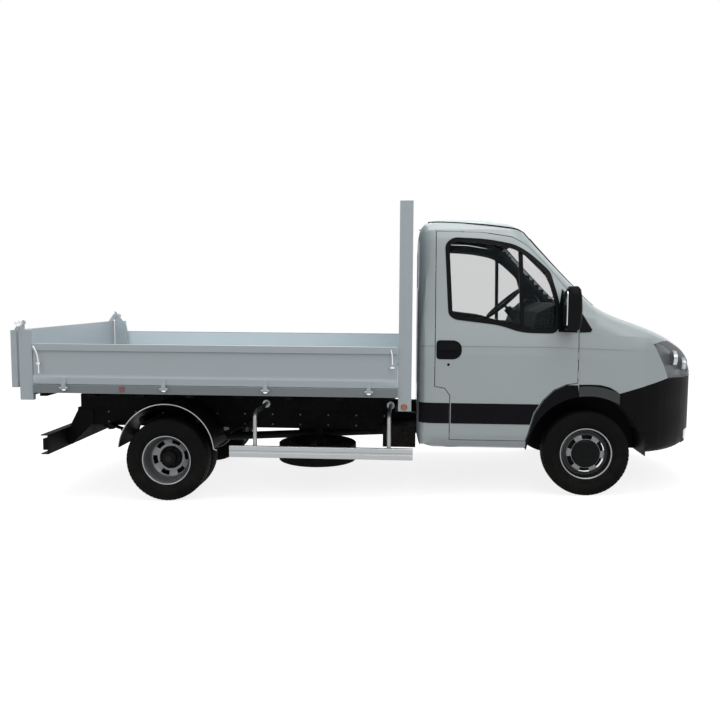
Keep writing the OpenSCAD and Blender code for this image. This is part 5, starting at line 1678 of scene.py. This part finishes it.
class TRUCK_OT_stage(bpy.types.Operator):
    """Sets the floor, soft lights, backdrop and camera"""
    bl_idname = "truck.stage"
    bl_label = "Stage"

    def execute(self, context):
        looks = context.scene.truck_looks
        mesh = bpy.data.meshes.new("Floor")
        mesh.from_pydata([(x, y, -0.001) for x, y in ((-40, -40), (40, -40), (40, 40), (-40, 40))],
                         [], [(0, 1, 2, 3)])
        floor = bpy.data.objects.new("Floor", mesh)
        context.collection.objects.link(floor)
        mesh.materials.append(self.floor_finish(looks))
        self.world(looks)
        for name, place, aim, size, power in (
                ("Key", (3.5, -6.5, 6.5), (0.0, 0.0, 0.8), 5.0, looks.key_power),
                ("Fill", (-6.0, -4.0, 5.0), (-0.5, 0.0, 0.8), 5.0, looks.key_power * 0.5),
                ("Back", (0.0, 7.5, 6.0), (0.0, 0.0, 1.0), 6.0, looks.key_power * 0.6),
                ("Top", (0.0, 0.0, 9.0), (0.0, 0.0, 0.0), 9.0, looks.key_power * 5.0)):
            lamp = bpy.data.lights.new(name, "AREA")
            lamp.size, lamp.energy = size, power
            made = bpy.data.objects.new(name, lamp)
            context.collection.objects.link(made)
            made.location = place
            made.rotation_mode = "QUATERNION"
            made.rotation_quaternion = (Vector(aim) - Vector(place)).to_track_quat("-Z", "Y")
        self.camera()
        context.scene.view_settings.view_transform = "Standard"
        return {"FINISHED"}

    def floor_finish(self, looks):
        made = bpy.data.materials.new("floor_white")
        made.use_nodes = True
        tree = made.node_tree
        shader = tree.nodes["Principled BSDF"]
        shader.inputs["Base Color"].default_value = (0.32, 0.32, 0.32, 1)
        shader.inputs["Roughness"].default_value = 0.95
        shader.inputs["Specular IOR Level"].default_value = 0.0
        path = node(tree, "ShaderNodeLightPath")
        seen = node(tree, "ShaderNodeMath", {0: path.outputs["Is Camera Ray"],
                                             1: path.outputs["Is Glossy Ray"]}, operation="MAXIMUM")
        seen = node(tree, "ShaderNodeMath", {0: seen.outputs[0],
                                             1: path.outputs["Is Transmission Ray"]},
                    operation="MAXIMUM")
        glow = node(tree, "ShaderNodeMath", {0: seen.outputs[0], 1: looks.floor_glow},
                    operation="MULTIPLY")
        shader.inputs["Emission Color"].default_value = (1, 1, 1, 1)
        tree.links.new(glow.outputs[0], shader.inputs["Emission Strength"])
        return made

    def world(self, looks):
        world = bpy.data.worlds.new("Plain light")
        bpy.context.scene.world = world
        world.use_nodes = True
        tree = world.node_tree
        tree.nodes.clear()
        path = node(tree, "ShaderNodeLightPath")
        seen = node(tree, "ShaderNodeMath", {0: path.outputs["Is Camera Ray"],
                                             1: path.outputs["Is Glossy Ray"]}, operation="MAXIMUM")
        seen = node(tree, "ShaderNodeMath", {0: seen.outputs[0],
                                             1: path.outputs["Is Transmission Ray"]},
                    operation="MAXIMUM")
        plain = node(tree, "ShaderNodeBackground", {"Color": (1, 1, 1, 1),
                                                    "Strength": looks.world_light})
        white = node(tree, "ShaderNodeBackground", {"Color": (1, 1, 1, 1), "Strength": 1.0})
        both = node(tree, "ShaderNodeMixShader", {0: seen.outputs[0], 1: plain.outputs[0],
                                                  2: white.outputs[0]})
        node(tree, "ShaderNodeOutputWorld", {"Surface": both.outputs[0]})

    def camera(self):
        yaw, pitch, roll = 0.0689, 0.0845, -0.0291
        ahead = Vector((-math.sin(yaw) * math.cos(pitch), math.cos(yaw) * math.cos(pitch),
                        -math.sin(pitch)))
        flat = ahead.cross(Vector((0, 0, 1))).normalized()
        rise = flat.cross(ahead)
        right = flat * math.cos(roll) + rise * math.sin(roll)
        up = -flat * math.sin(roll) + rise * math.cos(roll)
        lens = bpy.data.cameras.new("Camera")
        lens.sensor_width, lens.lens = 36, 38.52
        made = bpy.data.objects.new("Camera", lens)
        bpy.context.collection.objects.link(made)
        turn = Matrix((right, up, -ahead)).transposed().to_4x4()
        made.matrix_world = Matrix.Translation((2.0763 - 1.612, -7.1917, 1.6781)) @ turn
        bpy.context.scene.camera = made


# ---- Settings, panel and registration ----


class TruckLooks(bpy.types.PropertyGroup):
    """Colours and light of the truck"""
    paint: bpy.props.FloatVectorProperty(
        name="Cab paint", description="Colour of the cab's panels", subtype="COLOR", size=3,
        min=0, max=1, default=(0.375, 0.425, 0.435))
    bed_paint: bpy.props.FloatVectorProperty(
        name="Bed paint", description="Colour of the tipping bed", subtype="COLOR", size=3, min=0,
        max=1, default=(0.40, 0.455, 0.485))
    key_power: bpy.props.FloatProperty(
        name="Key light", description="Power of the main lamp", default=140.0, min=0, unit="POWER")
    world_light: bpy.props.FloatProperty(
        name="World light", description="Strength of the light from all round", default=0.5,
        min=0, max=2, subtype="FACTOR")
    floor_glow: bpy.props.FloatProperty(
        name="Floor glow", description="How much the floor is lifted towards white", default=0.84,
        min=0, max=1, subtype="FACTOR")


OPERATORS = (TRUCK_OT_cab_panels, TRUCK_OT_cab_trim, TRUCK_OT_front_end, TRUCK_OT_wheels,
             TRUCK_OT_bed, TRUCK_OT_chassis, TRUCK_OT_cab_interior, TRUCK_OT_ram, TRUCK_OT_stage)


class TRUCK_PT_build(bpy.types.Panel):
    """Lists the truck's colours and its building steps"""
    bl_idname = "TRUCK_PT_build"
    bl_label = "Tipping truck"
    bl_space_type = "VIEW_3D"
    bl_region_type = "UI"
    bl_category = "Truck"

    def draw(self, context):
        looks = context.scene.truck_looks
        for name in TruckLooks.__annotations__:
            self.layout.prop(looks, name)
        for step in OPERATORS:
            self.layout.operator(step.bl_idname)


CLASSES = (TruckLooks, *OPERATORS, TRUCK_PT_build)


def register():
    for item in CLASSES:
        bpy.utils.register_class(item)
    bpy.types.Scene.truck_looks = bpy.props.PointerProperty(type=TruckLooks)


def unregister():
    del bpy.types.Scene.truck_looks
    for item in reversed(CLASSES):
        bpy.utils.unregister_class(item)


def main():
    register()
    for step in OPERATORS:
        group_name, call = step.bl_idname.split(".")
        getattr(getattr(bpy.ops, group_name), call)()


if __name__ == "__main__":
    main()
